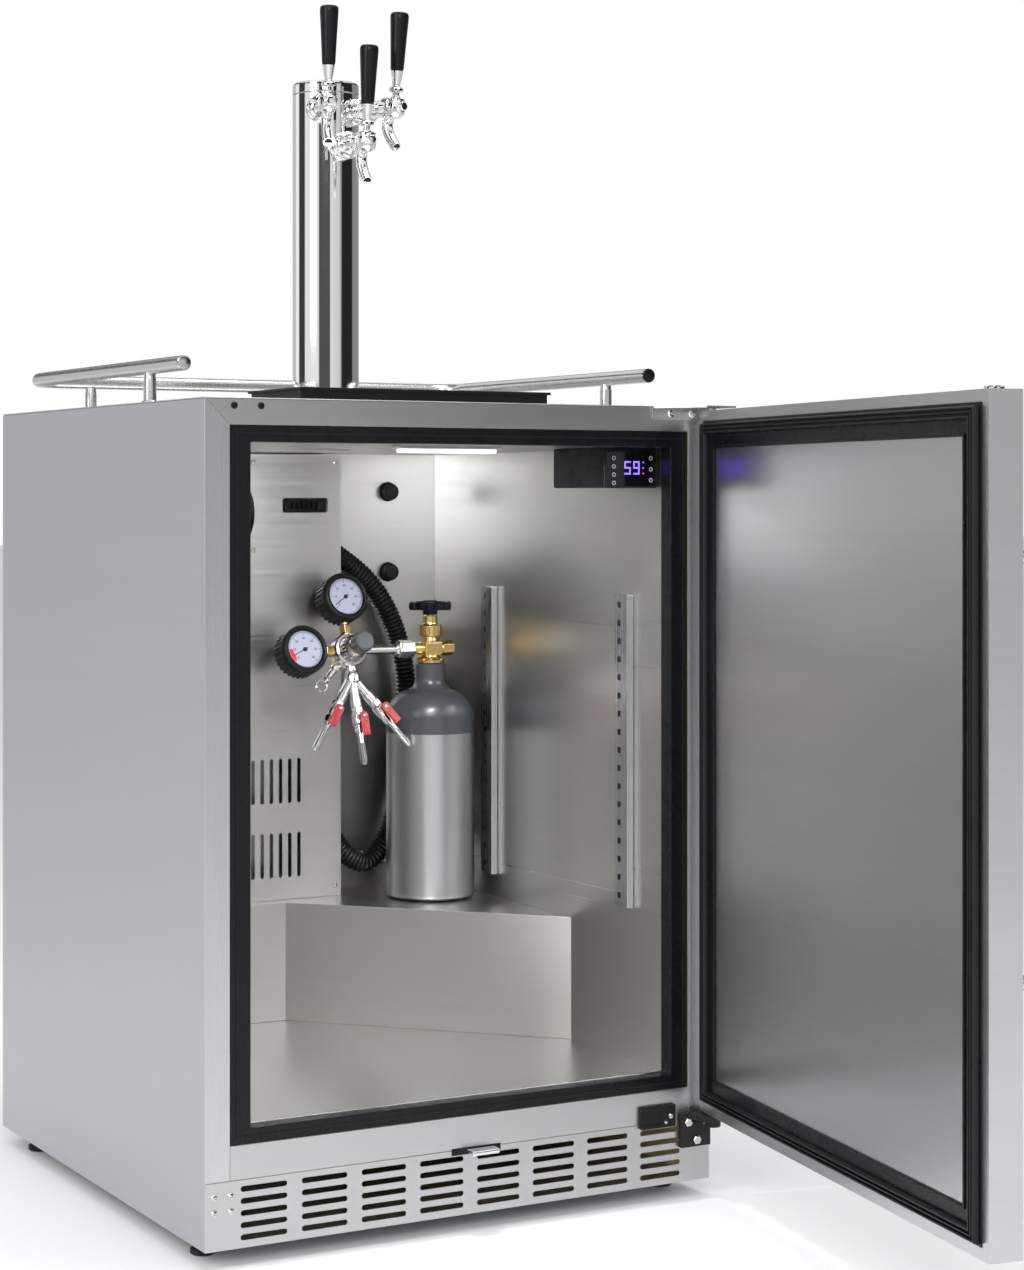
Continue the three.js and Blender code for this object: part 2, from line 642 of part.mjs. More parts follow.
// Each tap stands on the tower's skin at its own group's origin, and points along the group's -Y.
function tapSet({ name, x, y, z, turn }) {
  const group = new THREE.Group();
  group.position.set(x, towerY + y, z);
  group.rotation.z = rad(turn);
  kegerator.add(group);

  const reach = tap.reach;
  const shank = rod([0, 7, 0], [0, -12, 0], tap.shank, 14);
  const axis = new THREE.Vector2(-x, -y).rotateAround(new THREE.Vector2(), -rad(turn));
  const skin = rod([axis.x, axis.y, -60], [axis.x, axis.y, 60], tower.radius + gap, 48);
  const collarEdge = [[0, -8], [14, -8], [14, 3], [tap.collar, 5], [tap.collar, 13]];
  const nutEdge = [[13, 16], [15, 18], [15, 22], [12, 25], [0, 25]];
  const collar = turnedForward([...collarEdge, ...nutEdge], 18);
  const nut = cut(collar, skin);
  const barrel = rod([0, -22, 0], [0, -reach + 12, 0], tap.body, 14);
  const nose = rod([0, -reach + 14, -11], [0, -reach + 2, 8], 10.5, 12, 9);
  const pivotY0 = -reach + 3;
  const neck = rod([0, pivotY0, -2], [0, pivotY0, tap.pivotAbove], 9.5, 12);
  const bolt = rod([0, -reach + 6, 0], [0, -reach - 9, -2], 6, 6);
  const spoutPath = new THREE.CatmullRomCurve3([
    new THREE.Vector3(0, -reach + 16, -6),
    new THREE.Vector3(0, -reach + 14, -20),
    new THREE.Vector3(0, -reach + 9, -32),
    new THREE.Vector3(0, -reach + 2, -46),
  ]);
  const spout = sweep(spoutPath, 6.2, 10, 5);
  const bore = rod([0, -reach + 5.5, -39], [0, -reach + 1, -48], 4.4, 8);
  const seat = block(-14, 14, -reach - 11, -reach + 17, tap.pivotAbove, tap.pivotAbove + 18);
  const place = [0, pivotY0, tap.pivotAbove];
  const cup = solid(new THREE.SphereGeometry(tap.ball + 2 * gap, 16, 10)).translate(place);
  const body = cut(join(shank, nut, barrel, nose, neck, bolt, spout), bore, seat, cup);
  piece(`tap_body_${name}`, body, chrome, group);

  // The lever's profile is measured up from the middle of its ball end.
  const ballEnd = [[0, -tap.ball], [tap.ball * 0.7, -tap.ball * 0.7], [tap.ball, 0], [4, 4.4]];
  const ferrule = [[4, 9], [8.2, 11], [8.2, 14.5], [5.5, 17], [4.6, 20], [5.4, 32]];
  const grip = [[7.4, 33], [10.6, 93], [9.6, 97], [0, 98]];
  const lever = turned([...ballEnd, ...ferrule, ...grip], 14);
  piece(`tap_lever_${name}`, lever.rotate([tap.lean, 0, 0]).translate(place), blackPlastic, group);
}

// ---------------------------------------------------------------- gas cylinder and regulator
const gasX = linerX - cylinderPlace.fromRight;
const gasY = linerBack - cylinderPlace.fromBack;
const gasBase = stepTop + gap;

function gasCylinder() {
  const group = new THREE.Group();
  group.position.set(gasX, gasY, gasBase);
  kegerator.add(group);
  const { radius, straight, neckRadius, neckZ, height } = cylinder;
  const rise = neckZ - straight;
  const shoulder = [15, 35, 55, 75].map((a) => [
    neckRadius + (radius - neckRadius) * Math.cos(rad(a)) ** 0.9,
    straight + rise * Math.sin(rad(a)),
  ]);
  const foot = [[0, 0], [radius - 8, 0], [radius, 7], [radius, straight]];
  const neck = [[neckRadius, neckZ + 4], [neckRadius, height], [0, height]];
  piece("gas_cylinder", turned([...foot, ...shoulder, ...neck], 24), greyPaint, group);

  const z0 = height + gap;
  const { outlet, wheel } = valve;
  const stalkFoot = [[0, z0], [17, z0], [18, z0 + 4], [12, z0 + 7], [11, outlet + 10]];
  const gland = [[9, outlet + 14], [14, outlet + 15], [14, outlet + 30], [9, outlet + 32]];
  const spindle = [[9, wheel - 12], [4, wheel - 12], [4, wheel + 2], [0, wheel + 2]];
  const stalk = turned([...stalkFoot, ...gland, ...spindle], 14);
  const cube = block(-12, 12, -11, 11, outlet - 8, outlet + 8);
  const out = rod([-8, 0, outlet], [-24, 0, outlet], 7, 16);
  const plug = rod([8, 0, outlet], [32, 0, outlet], 10, 6);
  piece("cylinder_valve", join(stalk, cube, out, plug), brass, group);

  const lobes = 6;
  const rim = Array.from({ length: lobes }, (_, i) => {
    const a = (2 * Math.PI * i) / lobes;
    const lobeAt = valve.wheelRadius - 6;
    const [cx, cy] = [lobeAt * Math.cos(a), lobeAt * Math.sin(a)];
    return rod([cx, cy, wheel - 5], [cx, cy, wheel + 5], 6, 8);
  });
  const disc = rod([0, 0, wheel - 5], [0, 0, wheel + 5], valve.wheelRadius - 4, 18);
  const dish = rod([0, 0, wheel + 1], [0, 0, wheel + 8], valve.wheelRadius - 12, 12);
  const hub = rod([0, 0, wheel - 11], [0, 0, wheel + 6], 9, 12);
  const bore = rod([0, 0, wheel - 15], [0, 0, wheel + 2 + gap], 4 + gap, 12);
  piece("valve_handwheel", cut(join(cut(join(disc, ...rim), dish), hub), bore), blackPlastic, group);

  regulatorSet(group);
}

// The regulator hangs on the valve's outlet. It is turned about the outlet, so that its dials lean back.
function regulatorSet(parent) {
  const group = new THREE.Group();
  group.position.set(-regulator.fromValve, 0, valve.outlet);
  group.rotation.x = rad(-regulator.tilt);
  parent.add(group);
  const { bodyRadius, fromValve, gaugeRadius, gaugeDepth, gaugeOut } = regulator;

  const stem = rod([10, 0, 0], [fromValve - 40, 0, 0], 4.5, 10);
  const nut = rod([fromValve - 46, 0, 0], [fromValve - 24 - gap, 0, 0], 11, 6);
  const bowl = [[0, -14], [12, -16], [bodyRadius - 2, -12], [bodyRadius, -8], [bodyRadius, 6]];
  const bonnet = [[bodyRadius - 5, 9], [15, 22], [11, 30], [0, 30]];
  const body = turnedForward([...bowl, ...bonnet], 20);
  const ports = [
    rod([0, 0, 12], [0, 0, gaugeOut - gaugeRadius + 3], 6, 6),
    rod([-12, 0, 0], [-(gaugeOut - gaugeRadius + 3), 0, 0], 6, 6),
    rod([0, 0, -12], [0, 0, -manifold.hub + 8], 6.5, 12),
  ];
  const relief = [
    rod([-12, 0, -12], [-24, 0, -24], 5, 6),
    rod([-23, 0, -23], [-33, 0, -33], 3.6, 12),
  ];
  piece("regulator_body", join(body, stem, nut, ...ports, ...relief), chrome, group);

  const knobEdge = [[0, 30 + gap], [11.5, 30 + gap], [12.5, 33], [12.5, 46], [10.5, 49], [0, 49]];
  const knob = turnedForward(knobEdge, 20);
  piece("pressure_knob", knob, greyPaint, group);

  const half = gaugeDepth / 2;
  const bezel = gaugeRadius - 6;
  const bootBack = [[0, -half], [gaugeRadius - 4, -half], [gaugeRadius, -half + 5], [gaugeRadius, half - 4]];
  const bootFront = [[gaugeRadius - 3, half], [bezel, half], [bezel, half - 3], [0, half - 3]];
  const boot = [...bootBack, ...bootFront];
  const socketEnd = gaugeOut - gaugeRadius + 3 + gap;
  const lineSocket = rod([0, 0, 0], [0, 0, socketEnd], 7.5, 12);
  const tankSocket = rod([0, 0, 0], [-socketEnd, 0, 0], 7.5, 12);
  const dial = () => turnedForward(boot, 20);
  piece("gauge_line", cut(dial().translate([0, 0, gaugeOut]), lineSocket), blackRubber, group);
  piece("gauge_tank", cut(dial().translate([-gaugeOut, 0, 0]), tankSocket), blackRubber, group);

  const ringPull = rod([-34, 0, -34], [-37, 0, -37], 4.2, 12);
  const loop = new THREE.TorusGeometry(7, 1.2, 5, 12).rotateX(Math.PI / 2).translate(-42.5, 0, -42.5);
  piece("relief_ring", join(ringPull, solid(loop)), chrome, group);

  manifoldSet(group);
}

function manifoldSet(parent) {
  const hub = new THREE.Group();
  hub.position.set(0, 0, -manifold.hub);
  parent.add(hub);
  const { spread, leg, valveEnd, barbEnd, leverAt } = manifold;
  const barbTip = [[0, -barbEnd], [3, -barbEnd], [4.4, -barbEnd + 8], [3.6, -barbEnd + 12]];
  const barbRoot = [[3.6, -valveEnd + 4], [0, -valveEnd + 4]];
  const legs = [-spread, 0, spread].map((angle) =>
    join(
      rod([0, 0, 2], [0, 0, -leg], 6.5, 10),
      rod([0, 0, -leg + 2], [0, 0, -valveEnd], 7.5, 6),
      rod([0, -4, -leverAt], [0, -12, -leverAt], 4.5, 8),
      turned([...barbTip, ...barbRoot], 8),
    ).rotate([0, -angle, 0]),
  );
  const knot = rod([0, 0, 7.7], [0, 0, -8], 9, 12);
  piece("gas_manifold", join(knot, ...legs), chrome, hub);

  for (const [name, angle] of [["left", -spread], ["centre", 0], ["right", spread]]) {
    const boss = rod([0, -12 - gap, -leverAt], [0, -18, -leverAt], 5.5, 10);
    const blade = block(-5.5, 5.5, -18, -15, -leverAt - 24, -leverAt + 4);
    piece(`shutoff_lever_${name}`, join(boss, blade).rotate([0, -angle, 0]), redPlastic, hub);
  }
}

// ---------------------------------------------------------------- door
// The door is built shut in the cabinet's frame and then swung about its pins.
function doorSet() {
  const swing = new THREE.Group();
  swing.position.set(pivotX, pivotY, 0);
  swing.rotation.z = rad(door.open);
  kegerator.add(swing);
  const add = (name, body, material) => piece(name, body.translate([-pivotX, -pivotY, 0]), material, swing);

  const x = doorHalf;
  const high = doorHigh;
  const { low, lip } = door;
  const pinHole = (grow) =>
    rod([pivotX, pivotY, low - 5], [pivotX, pivotY, high + 5], hinge.pinRadius + grow, 16);
  const skin = block(-x, x, doorFace, doorBack, low, high);
  const hollow = block(-x + sheet, x - sheet, doorFace + sheet, doorBack - sheet, low + sheet, high - sheet);
  const mouth = block(-x + lip, x - lip, doorBack - 5, doorBack + 5, low + lip, high - lip);
  add("door_pan", cut(skin, hollow, mouth, pinHole(gap)), brushed);

  const c = sheet + gap;
  const panel = doorFrame.panelInset;
  const p = panel + gap;
  const slab = block(-x + c, x - c, doorFace + c, doorBack - doorFrame.thick - gap, low + c, high - c);
  const swell = block(-x + p, x - p, doorFace + c, doorBack - c, low + p, high - p);
  add("door_foam", cut(join(slab, swell), pinHole(2)), foam);

  const e = lip + gap;
  const outer = rectangle(-x + e, x - e, low + e, high - e);
  const inner = rectangle(-x + panel, x - panel, low + panel, high - panel);
  const surroundBack = doorBack + doorFrame.proud;
  const surround = frontPlate(outer, [inner], doorBack - doorFrame.thick, surroundBack);
  add("door_frame", surround, blackPlastic);

  add("door_inner_panel", block(-x + p, x - p, doorBack - sheet, doorBack, low + p, high - p), brushed);

  const g = gasket;
  const sealOuter = rectangle(-x + g.inset, x - g.inset, low + g.inset, high - g.inset);
  const w = g.inset + g.width;
  const sealInner = rectangle(-x + w, x - w, low + w, high - w);
  add("door_gasket", frontPlate(sealOuter, [sealInner], surroundBack + gap, front - g.free), blackRubber);

  const h = handle;
  const barX = -x + h.fromEdge;
  const barY = doorFace - h.standOff;
  const z0 = h.centre - h.length / 2;
  const z1 = h.centre + h.length / 2;
  const bar = rod([barX, barY, z0], [barX, barY, z1], h.radius, 20);
  const posts = [z0 + handlePost.inset, z1 - handlePost.inset].map((z) =>
    rod([barX, doorFace - gap, z], [barX, barY, z], handlePost.radius, 16),
  );
  add("door_handle", join(bar, ...posts), brushed);
}

// ---------------------------------------------------------------- assembly
sidePanels();
backPanel();
topPanel();
basePan();
faceFrame();
breakerFrame();
kickPlate();
linerShell();
stepCover();
insulation();
evaporatorCover();
evaporatorCoil();
evaporatorFan();
compressorUnit();
condenserCoil();
condenserFan();
towerHose();
hinges();
lockStrike();
doorSensor();
controllerBox();
lightStrip();
shelfRails();
feet();
guardRail();
dripTray();
towerColumn();
taps.forEach(tapSet);
gasCylinder();
doorSet();

export default kegerator;
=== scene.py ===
import json
import math

import bpy
from mathutils import Matrix, Vector


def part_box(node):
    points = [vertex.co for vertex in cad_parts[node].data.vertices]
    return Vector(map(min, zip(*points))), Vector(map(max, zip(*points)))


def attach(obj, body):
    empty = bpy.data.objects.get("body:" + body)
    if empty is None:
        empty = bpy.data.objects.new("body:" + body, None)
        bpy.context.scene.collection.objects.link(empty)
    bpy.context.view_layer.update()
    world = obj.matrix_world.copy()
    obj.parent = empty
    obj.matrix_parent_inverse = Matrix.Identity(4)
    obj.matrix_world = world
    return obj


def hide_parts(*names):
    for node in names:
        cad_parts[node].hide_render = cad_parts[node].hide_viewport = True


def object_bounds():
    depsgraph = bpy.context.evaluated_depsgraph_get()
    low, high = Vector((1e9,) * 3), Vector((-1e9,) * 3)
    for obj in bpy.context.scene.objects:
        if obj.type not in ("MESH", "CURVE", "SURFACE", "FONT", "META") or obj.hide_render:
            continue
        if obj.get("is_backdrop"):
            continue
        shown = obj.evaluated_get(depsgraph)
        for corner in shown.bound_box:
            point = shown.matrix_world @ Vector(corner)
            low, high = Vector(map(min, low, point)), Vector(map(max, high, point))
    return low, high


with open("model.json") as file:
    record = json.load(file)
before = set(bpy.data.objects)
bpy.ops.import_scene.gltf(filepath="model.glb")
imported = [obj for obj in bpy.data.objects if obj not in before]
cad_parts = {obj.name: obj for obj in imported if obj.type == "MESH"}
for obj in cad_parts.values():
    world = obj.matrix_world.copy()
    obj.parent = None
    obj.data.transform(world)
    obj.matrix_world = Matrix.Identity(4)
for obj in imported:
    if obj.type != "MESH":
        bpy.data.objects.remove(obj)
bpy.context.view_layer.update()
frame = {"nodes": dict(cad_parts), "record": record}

MM = 0.001
NEAR = 0.000005  # corners closer than this are one corner

# ---------------------------------------------------------------- camera
camera_data = bpy.data.cameras.new("camera")
camera = bpy.data.objects.new("camera", camera_data)
bpy.context.scene.collection.objects.link(camera)
camera.location = (-1.32486, -2.63212, 0.73984)
camera.rotation_euler = (math.radians(90), 0, math.radians(-28.455))
camera_data.sensor_width = 36
camera_data.lens = 73.26
camera_data.shift_x = 0.0724
camera_data.shift_y = -0.1052
bpy.context.scene.camera = camera


# ---------------------------------------------------------------- finishes
class Wire:
    """A node's output that takes part in sums, so a finish is written as plain expressions."""

    def __init__(self, bench, socket):
        self.bench = bench
        self.socket = socket

    def sum(self, operation, other, swapped=False):
        first, second = (other, self) if swapped else (self, other)
        return self.bench.node("ShaderNodeMath", {"operation": operation}, {0: first, 1: second})

    def __add__(self, other):
        return self.sum("ADD", other)

    def __radd__(self, other):
        return self.sum("ADD", other, True)

    def __sub__(self, other):
        return self.sum("SUBTRACT", other)

    def __rsub__(self, other):
        return self.sum("SUBTRACT", other, True)

    def __mul__(self, other):
        return self.sum("MULTIPLY", other)

    def __rmul__(self, other):
        return self.sum("MULTIPLY", other, True)

    def __gt__(self, other):
        return self.sum("GREATER_THAN", other)


class Bench:
    """The place where one finish is mixed."""

    def __init__(self, material):
        self.material = material
        material.use_nodes = True
        self.tree = material.node_tree
        self.tree.nodes.clear()

    @classmethod
    def named(cls, name):
        return cls(bpy.data.materials.new(name))

    def node(self, kind, settings=None, values=None, output=0):
        made = self.tree.nodes.new(kind)
        for key, value in (settings or {}).items():
            if key == "stops":
                ramp = made.color_ramp
                while len(ramp.elements) < len(value):
                    ramp.elements.new(0.5)
                for element, (position, level) in zip(ramp.elements, value):
                    element.position = position
                    element.color = (level, level, level, 1)
            else:
                setattr(made, key, value)
        for key, value in (values or {}).items():
            if isinstance(value, Wire):
                self.tree.links.new(value.socket, made.inputs[key])
            else:
                made.inputs[key].default_value = value
        return None if output is None else Wire(self, made.outputs[output])

    def place(self, scale=(1, 1, 1), centre=(0, 0, 0), turn=(0, 0, 0)):
        spot = self.node("ShaderNodeTexCoord", output="Object")
        values = {"Vector": spot, "Location": centre, "Rotation": turn, "Scale": scale}
        return self.node("ShaderNodeMapping", {}, values)

    def height(self):
        return self.node("ShaderNodeSeparateXYZ", {}, {0: self.place()}, output=2)

    def noise(self, scale, detail=3, roughness=0.55):
        values = {"Vector": self.place(scale), "Scale": 1, "Detail": detail, "Roughness": roughness}
        return self.node("ShaderNodeTexNoise", {}, values)

    def ramp(self, wire, stops):
        return self.node("ShaderNodeValToRGB", {"stops": stops}, {0: wire})

    def blend(self, share, first, second):
        values = {0: share, 6: first, 7: second}
        return self.node("ShaderNodeMix", {"data_type": "RGBA"}, values, output=2)

    def bump(self, height, strength, distance=0.0005):
        values = {"Height": height, "Strength": strength, "Distance": distance}
        return self.node("ShaderNodeBump", {}, values)

    def shade(self, **sockets):
        values = {key.replace("_", " "): value for key, value in sockets.items()}
        surface = self.node("ShaderNodeBsdfPrincipled", {}, values)
        self.node("ShaderNodeOutputMaterial", {}, {0: surface}, output=None)
        return self.material


def tint(red, green, blue, level=1.0):
    return (red * level, green * level, blue * level, 1)


def brushed_metal(name, colour, roughness, grain, smudge=0.06, depth=0.08, waves=0.0, streak=0.16):
    """Sheet metal brushed one way: grain is the pattern's scale along X, Y and Z, low along a stroke."""
    bench = Bench.named(name)
    strokes = bench.noise(grain, 4, 0.7)
    wide = bench.noise(tuple(g * 0.12 for g in grain), 2)
    hands = bench.noise((5, 5, 5), 3)
    light = tuple(min(1, c * 1.05) for c in colour[:3]) + (1,)
    dark = tuple(c * 0.92 for c in colour[:3]) + (1,)
    normal = bench.bump(strokes, depth, 0.0002)
    if waves:
        swell = bench.noise((0.7, 0.7, 9), 2, 0.4)
        values = {"Height": swell, "Strength": waves, "Distance": 0.004, "Normal": normal}
        normal = bench.node("ShaderNodeBump", {}, values)
    return bench.shade(
        Base_Color=bench.blend(strokes * 0.6 + wide * 0.4, dark, light),
        Metallic=1.0,
        Roughness=(strokes - 0.5) * streak + (hands - 0.5) * smudge + (wide - 0.5) * 0.06 + roughness,
        Normal=normal,
    )


def plated(name, colour, roughness):
    bench = Bench.named(name)
    haze = bench.noise((18, 18, 18), 4)
    fine = bench.noise((160, 160, 160), 2)
    return bench.shade(
        Base_Color=bench.blend(haze, tint(*colour, 0.95), tint(*colour, 1.0)),
        Metallic=1.0,
        Roughness=(haze - 0.4) * 0.05 + (fine - 0.5) * 0.02 + roughness,
        Normal=bench.bump(fine, 0.015, 0.0002),
    )


def moulded(name, colour, roughness, grain=1400, depth=0.12, coat=0.0, worn=0.5, gloss=0.22):
    """Moulded plastic or rubber: a fine skin texture and a little rubbing."""
    bench = Bench.named(name)
    skin = bench.noise((grain, grain, grain), 2)
    rub = bench.noise((22, 22, 22), 4)
    light = tuple(c * (1 + worn) + 0.002 for c in colour)
    return bench.shade(
        Base_Color=bench.blend(rub, tint(*colour), tint(*light)),
        Roughness=(rub - 0.5) * 0.14 + (skin - 0.5) * 0.06 + roughness,
        Specular_IOR_Level=gloss,
        Coat_Weight=coat,
        Coat_Roughness=0.08,
        Normal=bench.bump(skin, depth, 0.0003),
    )


def shining(name, colour, strength):
    bench = Bench.named(name)
    glow = bench.noise((60, 60, 60), 2)
    return bench.shade(
        Base_Color=bench.blend(glow, tint(*colour, 0.4), tint(*colour, 0.5)),
        Emission_Color=bench.blend(glow, tint(*colour, 0.92), tint(*colour)),
        Emission_Strength=strength,
        Roughness=0.4,
    )


STEEL = (0.66, 0.655, 0.645, 1)
SIDE_GREY = (0.535, 0.535, 0.57, 1)
WALL = (0.66, 0.65, 0.635, 1)
outer_steel = brushed_metal("outer_steel", (0.53, 0.525, 0.53, 1), 0.32, (3, 3, 420), depth=0.03)
side_steel = brushed_metal(
    "side_steel", SIDE_GREY, 0.46, (1.5, 1.5, 220), smudge=0.08, depth=0.01, waves=0.12,
)
top_steel = brushed_metal("top_steel", STEEL, 0.28, (5, 420, 5))
upright_steel = brushed_metal("upright_steel", (0.56, 0.56, 0.575, 1), 0.28, (420, 420, 3), depth=0.03)
wall_steel = brushed_metal("wall_steel", WALL, 0.31, (1.5, 1.5, 260), depth=0.008, waves=0.2)
door_steel = brushed_metal(
    "door_steel", (0.60, 0.60, 0.61, 1), 0.3, (1.2, 1.2, 180), depth=0.0015, waves=0.35, streak=0.04,
)
tube_steel = brushed_metal("tube_steel", STEEL, 0.26, (500, 30, 500), depth=0.05)
zinc_sheet = brushed_metal("zinc_sheet", (0.5, 0.51, 0.52, 1), 0.45, (60, 60, 60), depth=0.03)
fin_metal = brushed_metal("fin_metal", (0.62, 0.63, 0.64, 1), 0.35, (900, 900, 20))
bright_chrome = plated("bright_chrome", (0.82, 0.825, 0.83), 0.045)
tower_chrome = plated("tower_chrome", (0.83, 0.83, 0.83), 0.05)
nickel = plated("nickel", (0.66, 0.645, 0.62), 0.16)
valve_brass = brushed_metal("valve_brass", (0.80, 0.58, 0.24, 1), 0.24, (300, 300, 40))
black_moulding = moulded("black_moulding", (0.006, 0.006, 0.007), 0.42)
black_satin = moulded("black_satin", (0.004, 0.004, 0.005), 0.28, depth=0.05)
black_glass = moulded("black_glass", (0.004, 0.004, 0.006), 0.08, depth=0.0, coat=0.6, worn=0.1)
soft_rubber = moulded("soft_rubber", (0.006, 0.006, 0.007), 0.45, grain=900, gloss=0.3)
seal_rubber = moulded("seal_rubber", (0.006, 0.006, 0.007), 0.42, grain=700, gloss=0.3)
hose_rubber = moulded("hose_rubber", (0.005, 0.005, 0.006), 0.36, grain=600, gloss=0.35)
cast_black = moulded("cast_black", (0.013, 0.013, 0.014), 0.5, grain=500, depth=0.35)
red_dip = moulded("red_dip", (0.36, 0.006, 0.014), 0.26, depth=0.05, coat=0.4, worn=0.15, gloss=0.5)
knob_grey = moulded("knob_grey", (0.075, 0.08, 0.085), 0.4, gloss=0.5)
dial_white = moulded("dial_white", (0.42, 0.43, 0.54), 0.35, depth=0.02, worn=0.04)
dial_ink = moulded("dial_ink", (0.02, 0.02, 0.03), 0.5, depth=0.0)
dial_red = moulded("dial_red", (0.6, 0.03, 0.03), 0.4, depth=0.0)
icon_grey = moulded("icon_grey", (0.42, 0.43, 0.47), 0.4, depth=0.0)
wall_foam = moulded("wall_foam", (0.66, 0.55, 0.30), 0.9, grain=300, depth=0.4)
lamp_lens = shining("lamp_lens", (0.93, 0.96, 1.0), 1.6)
digit_glow = shining("digit_glow", (0.16, 0.10, 1.0), 3.2)
led_glow = shining("led_glow", (1.0, 0.08, 0.03), 2.0)


PAINT_LINE = 459


def bottle_finish():
    """Bare turned aluminium below, and dark grey paint on the shoulder and neck."""
    bench = Bench.named("bottle_finish")
    turning = bench.noise((3, 3, 900), 3, 0.7)
    wide = bench.noise((2, 2, 14), 2)
    paint = bench.height() > PAINT_LINE * MM
    flake = bench.noise((500, 500, 500), 2)
    bare = bench.blend(turning, (0.50, 0.505, 0.51, 1), (0.56, 0.565, 0.57, 1))
    coloured = bench.blend(flake, (0.062, 0.068, 0.078, 1), (0.085, 0.092, 0.104, 1))
    return bench.shade(
        Base_Color=bench.blend(paint, bare, coloured),
        Metallic=1.0 - paint * 0.75,
        Roughness=(turning - 0.5) * 0.1 + (wide - 0.5) * 0.06 + 0.32 - paint * 0.02,
        Normal=bench.bump(turning, 0.02, 0.0002),
    )


bottle_skin = bottle_finish()

# ---------------------------------------------------------------- the maker's hands
def lay_down():
    active = bpy.context.view_layer.objects.active
    if active and active.mode != "OBJECT":
        bpy.ops.object.mode_set(mode="OBJECT")
    bpy.ops.object.select_all(action="DESELECT")


def take(*things):
    lay_down()
    for thing in things:
        thing.select_set(True)
    bpy.context.view_layer.objects.active = things[0]
    return things[0]


def open_mesh(thing):
    take(thing)
    bpy.ops.object.mode_set(mode="EDIT")
    bpy.ops.mesh.select_all(action="SELECT")


def close_mesh():
    bpy.ops.object.mode_set(mode="OBJECT")
    return bpy.context.object


def named(name):
    thing = bpy.context.object
    thing.name = name
    thing.data.name = name
    return thing


def settle(thing):
    take(thing)
    bpy.ops.object.transform_apply(location=True, rotation=True, scale=True)
    return thing


def moved(thing, matrix):
    """Puts a piece where its group's frame says; the frame's shift is in millimetres."""
    place = matrix.copy()
    place.translation = place.translation * MM
    thing.matrix_world = place @ thing.matrix_world
    return settle(thing)


def spot(x, y, z, turn=0, about="Z"):
    return Matrix.Translation((x, y, z)) @ Matrix.Rotation(math.radians(turn), 4, about)


def modify(thing, kind, **settings):
    take(thing)
    made = thing.modifiers.new(kind.lower(), kind)
    for key, value in settings.items():
        setattr(made, key, value)
    bpy.ops.object.modifier_apply(modifier=made.name)
    return thing


def eased(thing, edge, segments=2, angle=30):
    return modify(
        thing, "BEVEL", width=edge * MM, segments=segments, limit_method="ANGLE",
        angle_limit=math.radians(angle), use_clamp_overlap=True, miter_outer="MITER_ARC",
    )


def ring_of(count, axis="Y"):
    """The turns that set a number of copies evenly round an axis."""
    return [Matrix.Rotation(math.tau * index / count, 4, axis) for index in range(count)]


def drawn(thing, shift, chosen):
    """Moves the corners that a test chooses."""
    open_mesh(thing)
    bpy.ops.mesh.select_all(action="DESELECT")
    close_mesh()
    for vertex in thing.data.vertices:
        vertex.select = chosen(vertex.co)
    bpy.ops.object.mode_set(mode="EDIT")
    bpy.ops.transform.translate(value=[c * MM for c in shift])
    return close_mesh()


def block(name, low, high, edge=0.0, segments=2, place=None):
    lay_down()
    centre = [(a + b) / 2 * MM for a, b in zip(low, high)]
    size = [(b - a) * MM for a, b in zip(low, high)]
    bpy.ops.mesh.primitive_cube_add(size=1, location=centre, scale=size)
    thing = settle(named(name))
    if edge:
        eased(thing, edge, segments)
    return moved(thing, place) if place else thing


def bar(name, start, end, radius, sides=32, edge=0.0, place=None):
    """A round bar between two points."""
    lay_down()
    first, last = Vector(start), Vector(end)
    along = last - first
    bpy.ops.mesh.primitive_cylinder_add(vertices=sides, radius=radius * MM, depth=along.length * MM)
    thing = named(name)
    turn = Vector((0, 0, 1)).rotation_difference(along.normalized()).to_matrix().to_4x4()
    thing.matrix_world = Matrix.Translation((first + last) / 2 * MM) @ turn
    settle(thing)
    if edge:
        eased(thing, edge, 2, 40)
    return moved(thing, place) if place else thing


def turned(name, profile, steps=64, edge=0.0, place=None):
    """A piece turned on a lathe about +Z, from [radius, height] pairs."""
    lay_down()
    bpy.ops.mesh.primitive_plane_add(size=MM)
    thing = named(name)
    open_mesh(thing)
    bpy.ops.mesh.merge(type="CENTER")
    radius, height = profile[0]
    bpy.ops.transform.translate(value=(radius * MM, 0, height * MM))
    for (r0, z0), (r1, z1) in zip(profile, profile[1:]):
        step = {"value": ((r1 - r0) * MM, 0, (z1 - z0) * MM)}
        bpy.ops.mesh.extrude_vertices_move(TRANSFORM_OT_translate=step)
    bpy.ops.mesh.select_all(action="SELECT")
    bpy.ops.mesh.spin(steps=steps, angle=math.tau, center=(0, 0, 0), axis=(0, 0, 1))
    bpy.ops.mesh.select_all(action="SELECT")
    bpy.ops.mesh.remove_doubles(threshold=NEAR)
    bpy.ops.mesh.normals_make_consistent(inside=False)
    close_mesh()
    if edge:
        eased(thing, edge, 2, 35)
    return moved(thing, place) if place else thing


